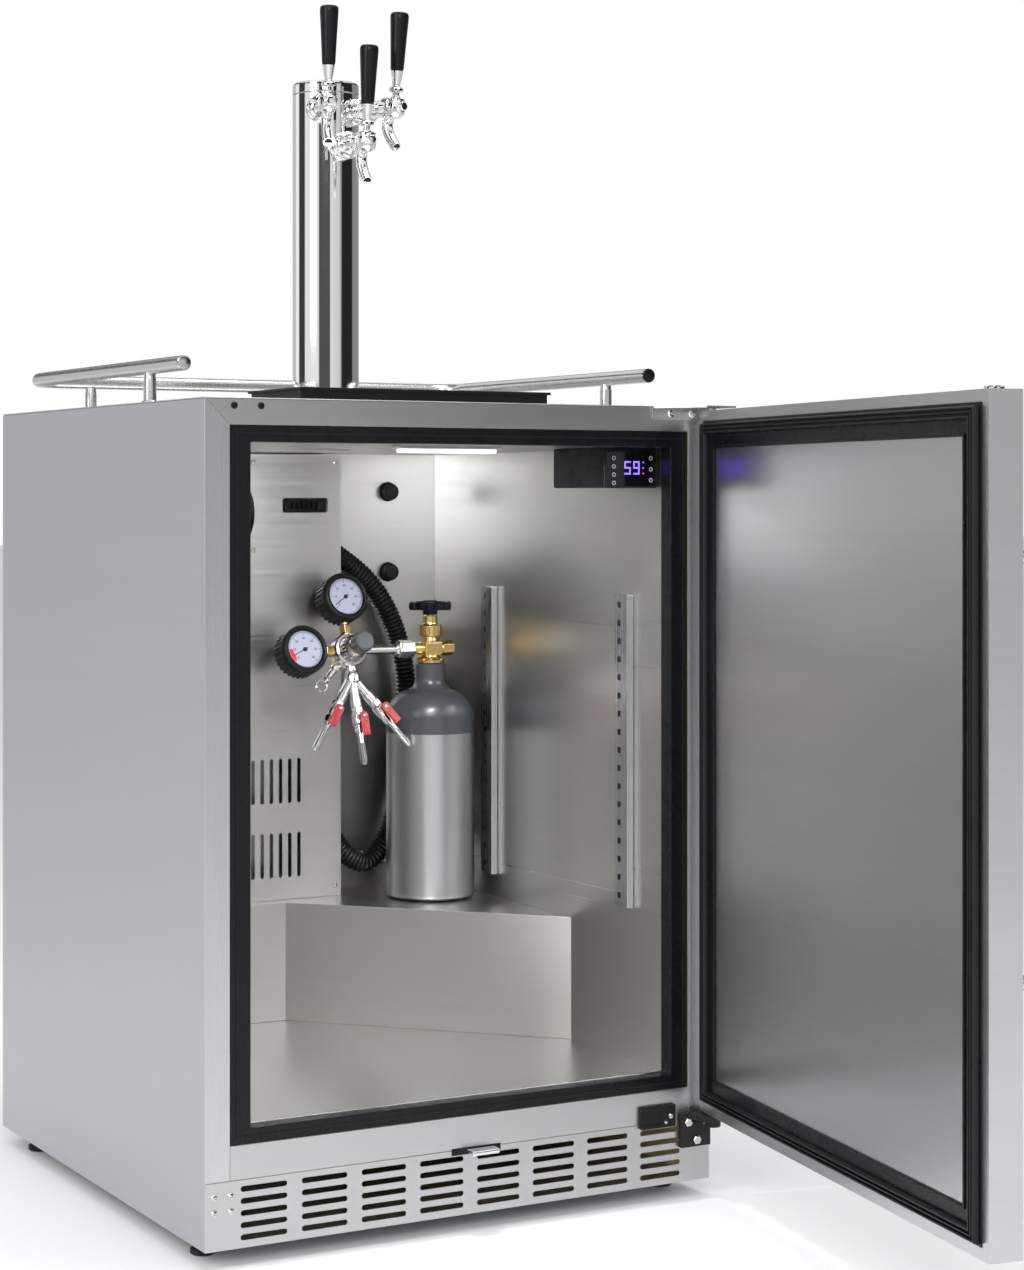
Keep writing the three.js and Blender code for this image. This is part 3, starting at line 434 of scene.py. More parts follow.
def bent(name, points, radius, sides=20, capped=True, smooth=True):
    """A tube along a line of points."""
    lay_down()
    bpy.ops.curve.primitive_nurbs_path_add()
    thing = named(name)
    curve = thing.data
    curve.splines.clear()
    line = curve.splines.new("NURBS" if smooth else "POLY")
    line.points.add(len(points) - 1)
    for point, place in zip(line.points, points):
        point.co = (*[c * MM for c in place], 1)
    if smooth:
        line.order_u = 4
        line.use_endpoint_u = True
    line.resolution_u = 6
    curve.dimensions = "3D"
    curve.bevel_depth = radius * MM
    curve.bevel_resolution = max(2, sides // 4 - 2)
    curve.use_fill_caps = capped
    bpy.ops.object.convert(target="MESH")
    thing = bpy.context.object
    open_mesh(thing)
    bpy.ops.mesh.remove_doubles(threshold=NEAR)
    bpy.ops.mesh.normals_make_consistent(inside=False)
    return close_mesh()


def joined(name, *things):
    take(*things)
    bpy.ops.object.join()
    return named(name)


def carved(thing, *tools):
    for tool in tools:
        modify(thing, "BOOLEAN", operation="DIFFERENCE", object=tool, solver="EXACT")
        bpy.data.objects.remove(tool)
    return thing


def united(thing, *others):
    for other in others:
        modify(thing, "BOOLEAN", operation="UNION", object=other, solver="EXACT")
        bpy.data.objects.remove(other)
    return thing


def repeated(thing, count, pace):
    paces = [c * MM for c in pace]
    return modify(thing, "ARRAY", count=count, use_relative_offset=False, use_constant_offset=True,
                  constant_offset_displace=paces)


def slots(name, centre, length, width, columns, rows, pitch, depth, face="front", upright=False):
    """The cutters for a grid of round-ended slots in a plate that faces the front or lies level."""
    lay_down()
    bpy.ops.mesh.primitive_cylinder_add(vertices=20, radius=width / 2 * MM, depth=depth * MM)
    thing = drawn(named(name), (length - width, 0, 0), lambda corner: corner.x > NEAR)
    drawn(thing, (-(length - width) / 2, 0, 0), lambda corner: True)
    across, up = (pitch[1], pitch[0]) if upright else pitch
    counts = (rows, columns) if upright else (columns, rows)
    repeated(thing, counts[0], (across, 0, 0))
    repeated(thing, counts[1], (0, up, 0))
    shift = Matrix.Translation((-(counts[0] - 1) * across / 2, -(counts[1] - 1) * up / 2, 0))
    turn = Matrix.Rotation(math.radians(90), 4, "Z") if upright else Matrix.Identity(4)
    stand = Matrix.Rotation(math.radians(90), 4, "X") if face == "front" else Matrix.Identity(4)
    return moved(thing, Matrix.Translation(centre) @ stand @ turn @ shift)


def kept(thing, finish, body="cabinet", stands_for=None, angle=32):
    """The last step for every piece: its shading, finish, body and the CAD solid that it stands for."""
    take(thing)
    bpy.ops.object.shade_smooth_by_angle(angle=math.radians(angle))
    modify(thing, "WEIGHTED_NORMAL", mode="FACE_AREA", weight=90, keep_sharp=True)
    thing.data.materials.clear()
    thing.data.materials.append(finish)
    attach(thing, body)
    if stands_for:
        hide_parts(stands_for)
    return thing


def body_holding(node):
    bodies = frame["record"]["behaviour"]["bodies"]
    return next(name for name, members in bodies.items() if node in members)


def cad_copy(node, name=None):
    """A CAD solid's mesh with its doubles merged and its flat faces whole."""
    mesh = frame["nodes"][node].data.copy()
    thing = bpy.data.objects.new(name or node + "_made", mesh)
    bpy.context.scene.collection.objects.link(thing)
    open_mesh(thing)
    bpy.ops.mesh.remove_doubles(threshold=0.00002)
    bpy.ops.mesh.dissolve_limited(angle_limit=math.radians(0.6))
    return close_mesh()


def dressed(node, finish, edge=0.4, segments=2, angle=32):
    """A plain CAD solid with its edges eased and its finish on."""
    thing = cad_copy(node)
    if edge:
        eased(thing, edge, segments)
    return kept(thing, finish, body_holding(node), node, angle)


FACE_FRONT = Matrix.Rotation(math.radians(90), 4, "X")
SIDEWAYS = Matrix.Rotation(math.radians(90), 4, "Y")


def facing_front(x, y, z):
    return Matrix.Translation((x, y, z)) @ FACE_FRONT


def cross_screw(name, place, radius=4, turn=0):
    """A pan-head screw with a cross recess, whose head faces +Z before it is placed."""
    profile = [
        [0, -0.5], [radius, -0.5], [radius, 0.5], [radius * 0.8, 1.6], [radius * 0.4, 2.1], [0, 2.2],
    ]
    head = turned(name, profile, 20)
    for angle in (turn, turn + 90):
        low, high = (-radius * 0.55, -0.5, 0.9), (radius * 0.55, 0.5, 4)
        carved(head, block("recess", low, high, place=spot(0, 0, 0, angle)))
    return moved(head, place)


# ---------------------------------------------------------------- cooling hose
HOSE_POINTS = [
    (88, 225, 684), (100, 225, 678), (145, 225, 645), (176, 225, 605), (196, 225, 555), (204, 225, 500),
    (203, 225, 440), (195, 225, 378), (176, 225, 321), (148, 225, 293), (120, 225, 302), (100, 225, 326),
    (84, 225, 352),
]


def smooth_line(points, per_span):
    """Points along a line that passes through every given point."""
    out = []
    run = [Vector(p) for p in points]
    run = [2 * run[0] - run[1], *run, 2 * run[-1] - run[-2]]
    for a, b, c, d in zip(run, run[1:], run[2:], run[3:]):
        for index in range(per_span):
            t = index / per_span
            square = 2 * a - 5 * b + 4 * c - d
            cube = 3 * b - a - 3 * c + d
            out.append(b + 0.5 * ((c - a) * t + square * t ** 2 + cube * t ** 3))
    return out + [run[-2]]


def even_line(points, spacing):
    """The same line walked in even paces."""
    lengths = [0.0]
    for a, b in zip(points, points[1:]):
        lengths.append(lengths[-1] + (b - a).length)
    count = max(2, round(lengths[-1] / spacing))
    out = []
    index = 0
    for step in range(count + 1):
        reach = lengths[-1] * step / count
        while index < len(points) - 2 and lengths[index + 1] < reach:
            index += 1
        share = (reach - lengths[index]) / (lengths[index + 1] - lengths[index])
        out.append(points[index].lerp(points[index + 1], share))
    return out, lengths[-1]


def ribbed_hose(name, points, radius, groove, pitch):
    """A hose with a rounded rib at every pitch, closed at its ends."""
    dips = (0, 0.35, 1, 0.35)
    line, length = even_line(smooth_line(points, 16), pitch / len(dips))
    across = Vector((0, 1, 0))
    sides = 28
    vertices = []
    for index, centre in enumerate(line):
        before = line[max(0, index - 1)]
        after = line[min(len(line) - 1, index + 1)]
        along = (after - before).normalized()
        up = along.cross(across).normalized()
        ring_radius = radius - groove * dips[index % len(dips)]
        for side in range(sides):
            angle = math.tau * side / sides
            spoke = across * math.cos(angle) + up * math.sin(angle)
            vertices.append((centre + spoke * ring_radius) * MM)
    faces = []
    for index in range(len(line) - 1):
        for side in range(sides):
            a = index * sides + side
            b = index * sides + (side + 1) % sides
            faces.append((a, a + sides, b + sides, b))
    faces.append(tuple(range(sides)))
    faces.append(tuple(reversed(range((len(line) - 1) * sides, len(line) * sides))))
    mesh = bpy.data.meshes.new(name)
    mesh.from_pydata(vertices, [], faces)
    thing = bpy.data.objects.new(name, mesh)
    bpy.context.scene.collection.objects.link(thing)
    open_mesh(thing)
    bpy.ops.mesh.normals_make_consistent(inside=False)
    close_mesh()
    return thing, [p * MM for p in line], length * MM


HOSE_RADIUS = 13
hose, hose_line, hose_length = ribbed_hose("cooling_hose", HOSE_POINTS, HOSE_RADIUS, 2.2, 5.2)
kept(hose, hose_rubber, stands_for="tower_hose", angle=60)

# ---------------------------------------------------------------- cabinet
HALF = 300
FRONT = -297
BACK = 297
TOP = 843
LINER_BACK = 254
SEAM = 0.15

for node in ("side_panel_left", "side_panel_right"):
    dressed(node, side_steel, 0.5)
dressed("top_panel", top_steel, 0.45)
back_low, back_high = [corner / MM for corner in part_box("back_panel")]
back_plate = block("back_panel_made", back_low, back_high)
gland_x = back_low.x + 60
carved(
    back_plate,
    slots("back_slots", (0, BACK, 90), 60, 5, 20, 1, (12, 10), 10, upright=True),
    bar("gland_hole", (gland_x, BACK - 5, 60), (gland_x, BACK + 5, 60), 9, 32),
)
kept(eased(back_plate, 0.3), zinc_sheet, stands_for="back_panel")
dressed("base_pan", zinc_sheet, 0.3)


def frame_member(name, planes):
    """One member of the front frame, cut from the whole at its mitres and butts."""
    thing = cad_copy("face_frame", name)
    for point, normal in planes:
        open_mesh(thing)
        place = tuple(c * MM for c in point)
        bpy.ops.mesh.bisect(plane_co=place, plane_no=normal, use_fill=True, clear_outer=True)
        close_mesh()
    return eased(thing, 0.3)


STILE_EDGE = 273
BUTT = STILE_EDGE + SEAM
OUTER_MITRE = HALF + SEAM
INNER_MITRE = HALF - SEAM
members = [
    frame_member("frame_stile_left", [((-BUTT, 0, 0), (1, 0, 0)), ((-OUTER_MITRE, 0, TOP), (1, 0, 1))]),
    frame_member("frame_stile_right", [((BUTT, 0, 0), (-1, 0, 0)), ((OUTER_MITRE, 0, TOP), (-1, 0, 1))]),
    frame_member("frame_rail_top", [
        ((-INNER_MITRE, 0, TOP), (-1, 0, -1)), ((INNER_MITRE, 0, TOP), (1, 0, -1)),
    ]),
    frame_member("frame_rail_bottom", [
        ((SEAM - STILE_EDGE, 0, 0), (-1, 0, 0)), ((STILE_EDGE - SEAM, 0, 0), (1, 0, 0)),
        ((0, 0, TOP / 2), (0, 0, 1)),
    ]),
]
for member in members[:2]:
    kept(member, upright_steel)
kept(members[2], outer_steel)
kept(members[3], outer_steel, stands_for="face_frame")

for x in (-268.4, -239.2):
    profile = [[0, 0], [3.6, 0], [3.6, 0.6], [2.6, 1.4], [0, 1.6]]
    kept(turned("hinge_hole_plug", profile, 24, place=facing_front(x, FRONT, 835)), black_satin)

kick_plate = block("kick_plate_made", (-HALF, FRONT, 0), (HALF, FRONT + 1.2, 67.5))
carved(kick_plate, slots("kick_slots", (0, FRONT, 34.5), 51, 5.6, 8, 5, (67.4, 12), 10))
kept(eased(kick_plate, 0.25), outer_steel, stands_for="kick_plate")
for side in (-1, 1):
    for x in (290, 272):
        for z in (53, 38):
            kept(cross_screw("kick_screw", facing_front(side * x, FRONT, z), 3.6, x + z), nickel)

dressed("breaker_frame", black_satin, 1.2, 3)
bead = block("breaker_bead", (-266.5, FRONT - 0.6, 109), (266.5, FRONT + 1, 808.5))
carved(bead, block("bead_inner", (-264.5, FRONT - 5, 111), (264.5, FRONT + 5, 806.5)))
kept(eased(bead, 0.35), black_moulding)

dressed("liner", wall_steel, 0.5)
lip = block("liner_front_lip", (-249.5, -281, 115.2), (249.5, -276.5, 119.4), 0.9, 3)
kept(lip, bright_chrome)
dressed("step_cover", wall_steel, 1.0, 3)
dressed("foam_insulation", wall_foam, 0)

# ---------------------------------------------------------------- cooling system
COVER_LOW, COVER_HIGH = 257.3, 797
FAN_X, FAN_Z = -80, 726
cover_plate = block("evaporator_cover_made", (-259.7, 201, COVER_LOW), (100, 202.2, COVER_HIGH))
united(cover_plate, block("cover_cheek", (98.8, 201.6, COVER_LOW), (100, 253.7, COVER_HIGH)))
for z in (311, 401):
    carved(cover_plate, slots("cover_slots", (FAN_X, 201.6, z), 54, 5, 21, 1, (12.3, 10), 10, upright=True))
fan_hole = bar("fan_hole", (FAN_X, 190, FAN_Z), (FAN_X, 214, FAN_Z), 64, 64)
window = block("cover_window", (21, 190, 726), (82, 214, 744), 3, 4)
hose_holes = [bar("hose_hole", (85, 225, z), (115, 225, z), 16, 48) for z in (680, 326)]
carved(cover_plate, fan_hole, window, *hose_holes)
kept(eased(cover_plate, 0.3), wall_steel, stands_for="evaporator_cover")
for x, z in ((-18, 787), (-18, 681), (92, 787), (92, 270), (-250, 787), (-250, 270)):
    kept(cross_screw("cover_screw", facing_front(x, 201, z), 3.2, x), nickel)

connector = block("cover_connector", (24, 199.6, 727.5), (79, 210, 742.5), 1.2, 3)
for index in range(6):
    pin_x = 32 + index * 6.6
    carved(connector, block("pin_well", (pin_x - 2, 190, 731), (pin_x + 2, 203, 739)))
kept(connector, black_satin)
kept(block("cover_rocker", (68, 198.4, 730), (76, 204, 740), 1, 3), black_moulding)

dressed("evaporator_coil", fin_metal, 0.3)
dressed("condenser_coil", fin_metal, 0.3)
dressed("compressor", cast_black, 2.5, 3, 40)


def fan(name, centre, depth, radius, body, node):
    """Five pitched blades on a turned hub."""
    place = Matrix.Translation(centre)
    pitch = Matrix.Rotation(math.radians(24), 4, "X")
    half = depth / 2
    profile = [[0, -half], [15, -half], [15, half - 3], [12, half], [0, half]]
    parts = [turned("hub", profile, 40, 0.6, place @ FACE_FRONT)]
    for turn in ring_of(5):
        low, high = (11, -0.9, -radius * 0.25), (radius, 0.9, radius * 0.25)
        parts.append(block("blade", low, high, 0.6, 2, place @ turn @ pitch))
    return kept(joined(name, *parts), black_moulding, body, node)


fan("evaporator_fan_made", (FAN_X, 217, FAN_Z), 16, 55, "coil_fan", "evaporator_fan")
fan("condenser_fan_made", (-160, 263, 108), 16, 67, "machine_fan", "condenser_fan")

for z in (752, 651):
    profile = [[0, 0], [12.5, 0], [12.5, 2], [10, 4.5], [10.5, 11], [9, 13], [0, 13.5]]
    kept(turned("wall_knob", profile, 12, 0.6, facing_front(192.6, LINER_BACK - 0.2, z)), black_moulding)

# ---------------------------------------------------------------- fittings in the cabinet
dressed("controller_housing", black_satin, 2.2, 3)
dressed("controller_panel", black_glass, 0.8, 3)
PANEL_FRONT = -259.3
LIT_BARS = {"5": "afgcd", "9": "abcdfg"}


def seven_segments(name, digit, x, z, height, width, line):
    """One figure of the temperature display, from its lit bars."""
    middle = z + height / 2
    places = {
        "a": ((x, z + height - line), (x + width, z + height)),
        "b": ((x + width - line, middle), (x + width, z + height)),
        "c": ((x + width - line, z), (x + width, middle)),
        "d": ((x, z), (x + width, z + line)),
        "e": ((x, z), (x + line, middle)),
        "f": ((x, middle), (x + line, z + height)),
        "g": ((x, middle - line / 2), (x + width, middle + line / 2)),
    }
    bars = []
    for key in LIT_BARS[digit]:
        (x0, z0), (x1, z1) = places[key]
        gap = 0.25
        low = (x0 + gap, PANEL_FRONT - 0.18, z0 + gap)
        bars.append(block("bar", low, (x1 - gap, PANEL_FRONT + 0.1, z1 - gap), 0.1, 1))
    return kept(joined(name, *bars), digit_glow)


seven_segments("display_five", "5", 214.5, 769, 15, 8.5, 2.2)
seven_segments("display_nine", "9", 226, 769, 15, 8.5, 2.2)
for z, glow in ((770.5, led_glow), (776.5, digit_glow), (782.5, digit_glow)):
    profile = [[0, -0.1], [0.8, -0.1], [0.8, 0.2], [0, 0.3]]
    kept(turned("display_light", profile, 12, place=facing_front(239, PANEL_FRONT, z)), glow)
for x, z in [(201, z) for z in (760, 769, 778, 787)] + [(249, z) for z in (763, 775, 787)]:
    profile = [[1.4, -0.1], [2.4, -0.1], [2.4, 0.15], [1.4, 0.15], [1.4, -0.1]]
    kept(turned("touch_mark", profile, 20, place=facing_front(x, PANEL_FRONT, z)), icon_grey)

kept(block("lamp_body", (-61, -257, 794.7), (61, -237, 798.7), 0.8, 3), nickel)
kept(block("lamp_lens", (-57, -254, 790.7), (57, -240, 796.7), 1.6, 4), lamp_lens, stands_for="light_strip")


def shelf_rail(name, x, inward, y, node=None):
    """A pressed rail: a strip with a row of shelf-clip holes beside a raised, flat-faced channel, and a black
    sheet behind the holes that paints the shade in them.
    """
    strip = block(name, (-1.2, 12, 285), (1.5, 36, 636), 0.3)
    holes = block("clip_holes", (-3, 20, -3.4), (4, 29, 3.4))
    repeated(holes, 17, (0, 0, 20.4))
    carved(strip, moved(holes, Matrix.Translation((0, 0, 297))))
    channel = block("channel", (-7.2, 0, 285.5), (1.5, 14.2, 635.5), 0.9, 3)
    # Black sheet just behind the clip holes: painted shade, so the holes read dark like voids.
    hole_shade_sheet = block(name + "_well", (1.1, 18, 290), (1.4, 31, 632))
    rail = joined(name, strip, channel)
    for thing in (rail, hole_shade_sheet):
        if inward > 0:
            moved(thing, Matrix.Scale(-1, 4, (1, 0, 0)))
            open_mesh(thing)
            bpy.ops.mesh.normals_make_consistent(inside=False)
            close_mesh()
        moved(thing, Matrix.Translation((x, y, 0)))
    kept(hole_shade_sheet, black_moulding)
    return kept(rail, upright_steel, stands_for=node)


RAIL_WALL = 258.2
FRONT_RAIL, REAR_RAIL = -209, 93
shelf_rail("shelf_rail_front_made", RAIL_WALL, -1, FRONT_RAIL, "shelf_rail_front")
shelf_rail("shelf_rail_rear_made", RAIL_WALL, -1, REAR_RAIL, "shelf_rail_rear")
shelf_rail("shelf_rail_front_left", -RAIL_WALL, 1, FRONT_RAIL)
shelf_rail("shelf_rail_rear_left", -RAIL_WALL, 1, REAR_RAIL)

# Thin black sheet on the front face round the strike: painted shade standing in for the dark recess.
recess = block("strike_recess_shade", (-22, FRONT - 0.9, 62.5), (36, FRONT - 0.3, 69.5), 0.15)
kept(recess, black_satin)
tongue = block("lock_strike_made", (-6, FRONT - 16, 66), (26, FRONT - 0.9, 68.5), 0.5, 3)
keeper = block("keeper", (-6, FRONT - 16, 63.6), (26, FRONT - 14.6, 67.6), 0.4, 3)
kept(joined("lock_strike_made", tongue, keeper), bright_chrome, stands_for="lock_strike")
dressed("door_sensor", black_satin, 0.7, 3)
kept(cross_screw("sensor_screw", facing_front(246, FRONT - 5.2, 75), 3, 20), nickel)
kept(cross_screw("sensor_screw_low", facing_front(239.5, FRONT - 5.2, 69), 2.2, 60), nickel)

for node in ("foot_front_left", "foot_front_right", "foot_rear_left", "foot_rear_right"):
    low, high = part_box(node)
    place = spot((low.x + high.x) / 2 / MM, (low.y + high.y) / 2 / MM, 0)
    pad = turned(node + "_made", [
        [0, -18], [11, -18], [13, -16.5], [13, -12.5], [11.5, -11], [9, -10.4], [9, -5], [6, -5],
        [6, -4.2], [5.2, -3.6], [6, -3], [5.2, -2.4], [6, -1.8], [5.2, -1.2], [5.2, -0.3], [0, -0.3],
    ], 40, place=place)
    kept(pad, soft_rubber, stands_for=node)

# ---------------------------------------------------------------- hinges
dressed("top_hinge_plate", tube_steel, 0.6, 3)
for x in (249, 276):
    kept(cross_screw("hinge_screw", facing_front(x, FRONT - 2.3, 835), 4.4, x), bright_chrome)
dressed("bottom_hinge_bracket", cast_black, 1.6, 3)
for x, z in ((268, 66), (290, 66), (279, 46)):
    profile = [[0, 0], [5.4, 0], [5.4, 2.6], [4.2, 3.6], [0, 3.8]]
    kept(turned("bracket_bolt", profile, 6, 0.4, facing_front(x, FRONT - 6.3, z)), nickel)

# ---------------------------------------------------------------- guard rail
RAIL_Z = 881
RAIL_X = 282.8
RAIL_FRONT = -206.5
RAIL_REAR = 248
BEND = 34


def rail_line():
    """The rail's centre line from the left arm's end round the back to the right arm's."""
    steps = 12
    line = [(-RAIL_X, RAIL_FRONT + 2, RAIL_Z)]
    for side in (-1, 1):
        corner = []
        for index in range(steps + 1):
            angle = math.radians(90) * index / steps
            x = side * (RAIL_X - BEND + BEND * math.cos(angle))
            corner.append((x, RAIL_REAR - BEND + BEND * math.sin(angle), RAIL_Z))
        line += corner if side < 0 else corner[::-1]
    return line + [(RAIL_X, RAIL_FRONT + 2, RAIL_Z)]


parts = [bent("guard_rail_made", rail_line(), 8, 32, smooth=False)]
for x, y in ((-RAIL_X, -115), (RAIL_X, -115), (-208, RAIL_REAR), (208, RAIL_REAR)):
    parts.append(turned("rail_post", [
        [0, 843.3], [9.2, 843.3], [9.2, 844.6], [8.4, 845.4], [6.8, 845.4], [6.8, 868], [6.2, 869.2],
        [6.2, 876], [0, 876],
    ], 40, place=spot(x, y, 0)))
kept(joined("guard_rail_made", *parts), tube_steel, stands_for="guard_rail", angle=40)
for x, finish in ((-RAIL_X, nickel), (RAIL_X, black_satin)):
    profile = [[0, -2], [7.9, -2], [7.9, 0], [7.4, 0.9], [6.2, 1.5], [0, 1.7]]
    place = facing_front(x, RAIL_FRONT + 1.8, RAIL_Z)
    kept(turned("rail_end_cap", profile, 40, place=place), finish)

# ---------------------------------------------------------------- drip tray
dressed("drip_tray", black_moulding, 0.7, 3)
grate = block("drip_grille_made", (-147.7, -201.7, 853.6), (147.7, -82.3, 855.3))
carved(grate, slots("grate_slots", (0, -142, 854.5), 46, 6, 5, 6, (57, 18), 10, face="level"))
kept(eased(grate, 0.3), top_steel, "grille", "drip_grille")

# ---------------------------------------------------------------- tower
TOWER_Y = 41
TOWER_R = 38.1
TOWER_BORE = 36.5
TOWER_BASE = 843.3
TOWER_TOP = 1207.3
HIGH_TAP, LOW_TAP = 1186, 1144
tower_place = spot(0, TOWER_Y, 0)
TAPS = {
    "left": spot(-23.457, 10.977, HIGH_TAP, -17),
    "centre": spot(0, 2.9, LOW_TAP),
    "right": spot(23.457, 10.977, HIGH_TAP, 17),
}
column = turned("tower_column_made", [
    [TOWER_BORE, TOWER_BASE], [61.2, TOWER_BASE], [62, TOWER_BASE + 0.8], [62, TOWER_BASE + 3.6],
    [60.8, TOWER_BASE + 4.8], [41, TOWER_BASE + 5], [38.9, TOWER_BASE + 5.6], [TOWER_R, TOWER_BASE + 7.4],
    [TOWER_R, TOWER_TOP - 0.8], [37.6, TOWER_TOP], [TOWER_BORE, TOWER_TOP], [TOWER_BORE, TOWER_BASE],
], 128, place=tower_place)
for place in TAPS.values():
    carved(column, bar("shank_hole", (0, 30, 0), (0, -30, 0), 10.3, 40, place=place))
kept(column, tower_chrome, stands_for="tower_column")
cap = turned("tower_cap_made", [
    [0, TOWER_TOP - 6], [36, TOWER_TOP - 6], [36, TOWER_TOP + 0.3], [37.9, TOWER_TOP + 0.5],
    [TOWER_R, TOWER_TOP + 1.2], [TOWER_R, TOWER_TOP + 10.3], [37.4, TOWER_TOP + 12.2],
    [35.5, TOWER_TOP + 13.2], [30, TOWER_TOP + 13.3], [0, TOWER_TOP + 13.3],
], 128, place=tower_place)
kept(cap, tower_chrome, stands_for="tower_cap")
FLANGE_SCREWS = 52
for index in range(4):
    angle = math.radians(45 + 90 * index)
    x, y = FLANGE_SCREWS * math.cos(angle), TOWER_Y + FLANGE_SCREWS * math.sin(angle)
    kept(cross_screw("flange_screw", spot(x, y, TOWER_BASE + 4.9), 3.6, 30 * index), nickel)

# ---------------------------------------------------------------- taps
PIVOT_Y = -65
PIVOT_Z = 8
SPOUT_LINE = [(0, -62, -4), (0, -55, -9), (0, -50.5, -17), (0, -52.5, -28), (0, -59, -38), (0, -66, -46)]


def tap_body(name, place):
    """A shank, a ribbed collar, a barrel that swells into the head, a bonnet ring and a curved spout."""
    pieces = [
        turned("shank", [[0, -7], [10, -7], [10, 12], [0, 12]], 40, 0.4, FACE_FRONT),
        turned("saddle", [
            [9, 1.5], [14.6, 1.5], [15.4, 2.4], [15.5, 4], [14.2, 5.6], [14.2, 6.4], [15.5, 7.4],
            [15.5, 12.4], [14.4, 13.6], [13, 14], [13, 16], [14.2, 16.8], [15.2, 18], [15.2, 21.8],
            [14.2, 23.4], [12, 25], [9, 25], [9, 1.5],
        ], 64, place=FACE_FRONT),
    ]
    for turn in ring_of(8):
        pieces.append(bar("spanner_lug", (0, -9.9, 12.8), (0, -9.9, 16.2), 1.9, 16, 0.4, turn))
    for turn in ring_of(30):
        pieces.append(block("knurl", (-0.55, -21.4, 14.6), (0.55, -18.4, 15.7), 0.25, 1, turn))
    pieces += [
        turned("barrel", [
            [0, 22], [11, 22], [11, 27], [9.6, 29], [9.6, 40], [10.4, 44], [11.6, 48], [11.8, 52], [10.6, 57],
            [0, 58],
        ], 56, place=FACE_FRONT),
        turned("head", [
            [0, -13], [6, -12.6], [9.2, -10], [10.6, -5], [10.8, 0], [10.2, 3.4], [9.4, 4.2], [9.4, 5.2],
            [10.4, 5.8], [10.4, 7.4], [9.6, 7.9], [7.1, 7.9], [6.9, 6.6], [0, 4],
        ], 56, place=spot(0, PIVOT_Y, 0)),
        turned("front_nut", [
            [0, 0], [5.8, 0], [5.8, 3.6], [5, 4.6], [0, 5],
        ], 6, 0.5, facing_front(0, PIVOT_Y - 9.6, -1)),
        turned("front_dome", [
            [0, 0], [7.6, 0], [7.6, 1.6], [6.6, 2.8], [0, 2.8],
        ], 40, place=facing_front(0, PIVOT_Y - 7.4, -1)),
        bent("spout", SPOUT_LINE, 6.2, 32),
    ]
    web = block("web", (-5.2, -63, -9.5), (5.2, -27, 6.2))
    drawn(web, (0, 0, 3.5), lambda corner: corner.y > -0.04 and corner.z < 0)
    return moved(joined(name, *pieces, eased(web, 2.2, 4)), place)


def spout_throat_shade(name, place):
    """A black disc in the spout's mouth: painted shade for the dark inside of the spout."""
    along = Vector((0, 0, 1)).rotation_difference(Vector((0, -0.52, -0.85))).to_matrix().to_4x4()
    mouth = place @ Matrix.Translation((0, -66.05, -46.1)) @ along
    return turned(name, [[0, -0.6], [4.5, -0.6], [4.5, 0.05], [0, 0.05]], 32, place=mouth)


def tap_lever(name, place, body, node):
    """A ball-ended stem with a chrome ferrule, and a tapered black handle screwed on it."""
    lean = place @ spot(0, PIVOT_Y, PIVOT_Z, 4, "X")
    stem = turned(name + "_stem", [
        [0, -5.9], [3, -5.1], [5.1, -3], [5.9, 0], [5.1, 3], [3.8, 4.6], [3.8, 7.6], [6.4, 8.4], [8.2, 9.6],
        [8.2, 12], [7.2, 13.4], [5, 14.4], [4.2, 15.4], [4.4, 17], [7, 31.8], [0, 31.8],
    ], 48, place=lean)
    kept(stem, bright_chrome, body)
    grip = turned(name + "_grip", [
        [0, 32], [5.6, 32], [7, 32.6], [7.5, 34], [7.8, 40], [8.4, 52], [9.2, 68], [10, 82], [10.5, 91],
        [10.4, 94], [9.6, 96.4], [7.4, 97.6], [0, 98],
    ], 56, place=lean)
    return kept(grip, black_satin, body, node)


for name, place in TAPS.items():
    kept(tap_body("tap_%s_made" % name, place), bright_chrome, stands_for="tap_body_" + name)
    # Black disc in each spout's mouth: painted shade inside the spout.
    kept(spout_throat_shade("tap_%s_throat" % name, place), black_moulding)
    tap_lever("tap_%s_lever" % name, place, "tap_" + name, "tap_lever_" + name)

# ---------------------------------------------------------------- gas bottle
GAS_X, GAS_Y, GAS_BASE = 192, 141, 257.3
OUTLET = 303
gas_place = spot(GAS_X, GAS_Y, GAS_BASE)
dome = []
for index in range(10):
    angle = math.radians(6 + 54 * index / 9)
    dome.append([16 + 38 * math.cos(angle), 219 + 36 * math.sin(angle)])
for index in range(7):
    angle = math.radians(60 * (1 - index / 6))
    dome.append([18 + 18 * (1 - math.cos(angle)), 267 - 16.5 * math.sin(angle)])
bottle = turned("gas_bottle_made", [
    [0, 3], [30, 3], [40, 0.6], [46, 0], [50, 1.2], [53, 4], [54, 8], [54, 219], *dome, [17.7, 272],
    [18.2, 273], [18.2, 284], [17.4, 285], [0, 285],
], 128, place=gas_place)
kept(bottle, bottle_skin, "gas_bottle", "gas_cylinder")

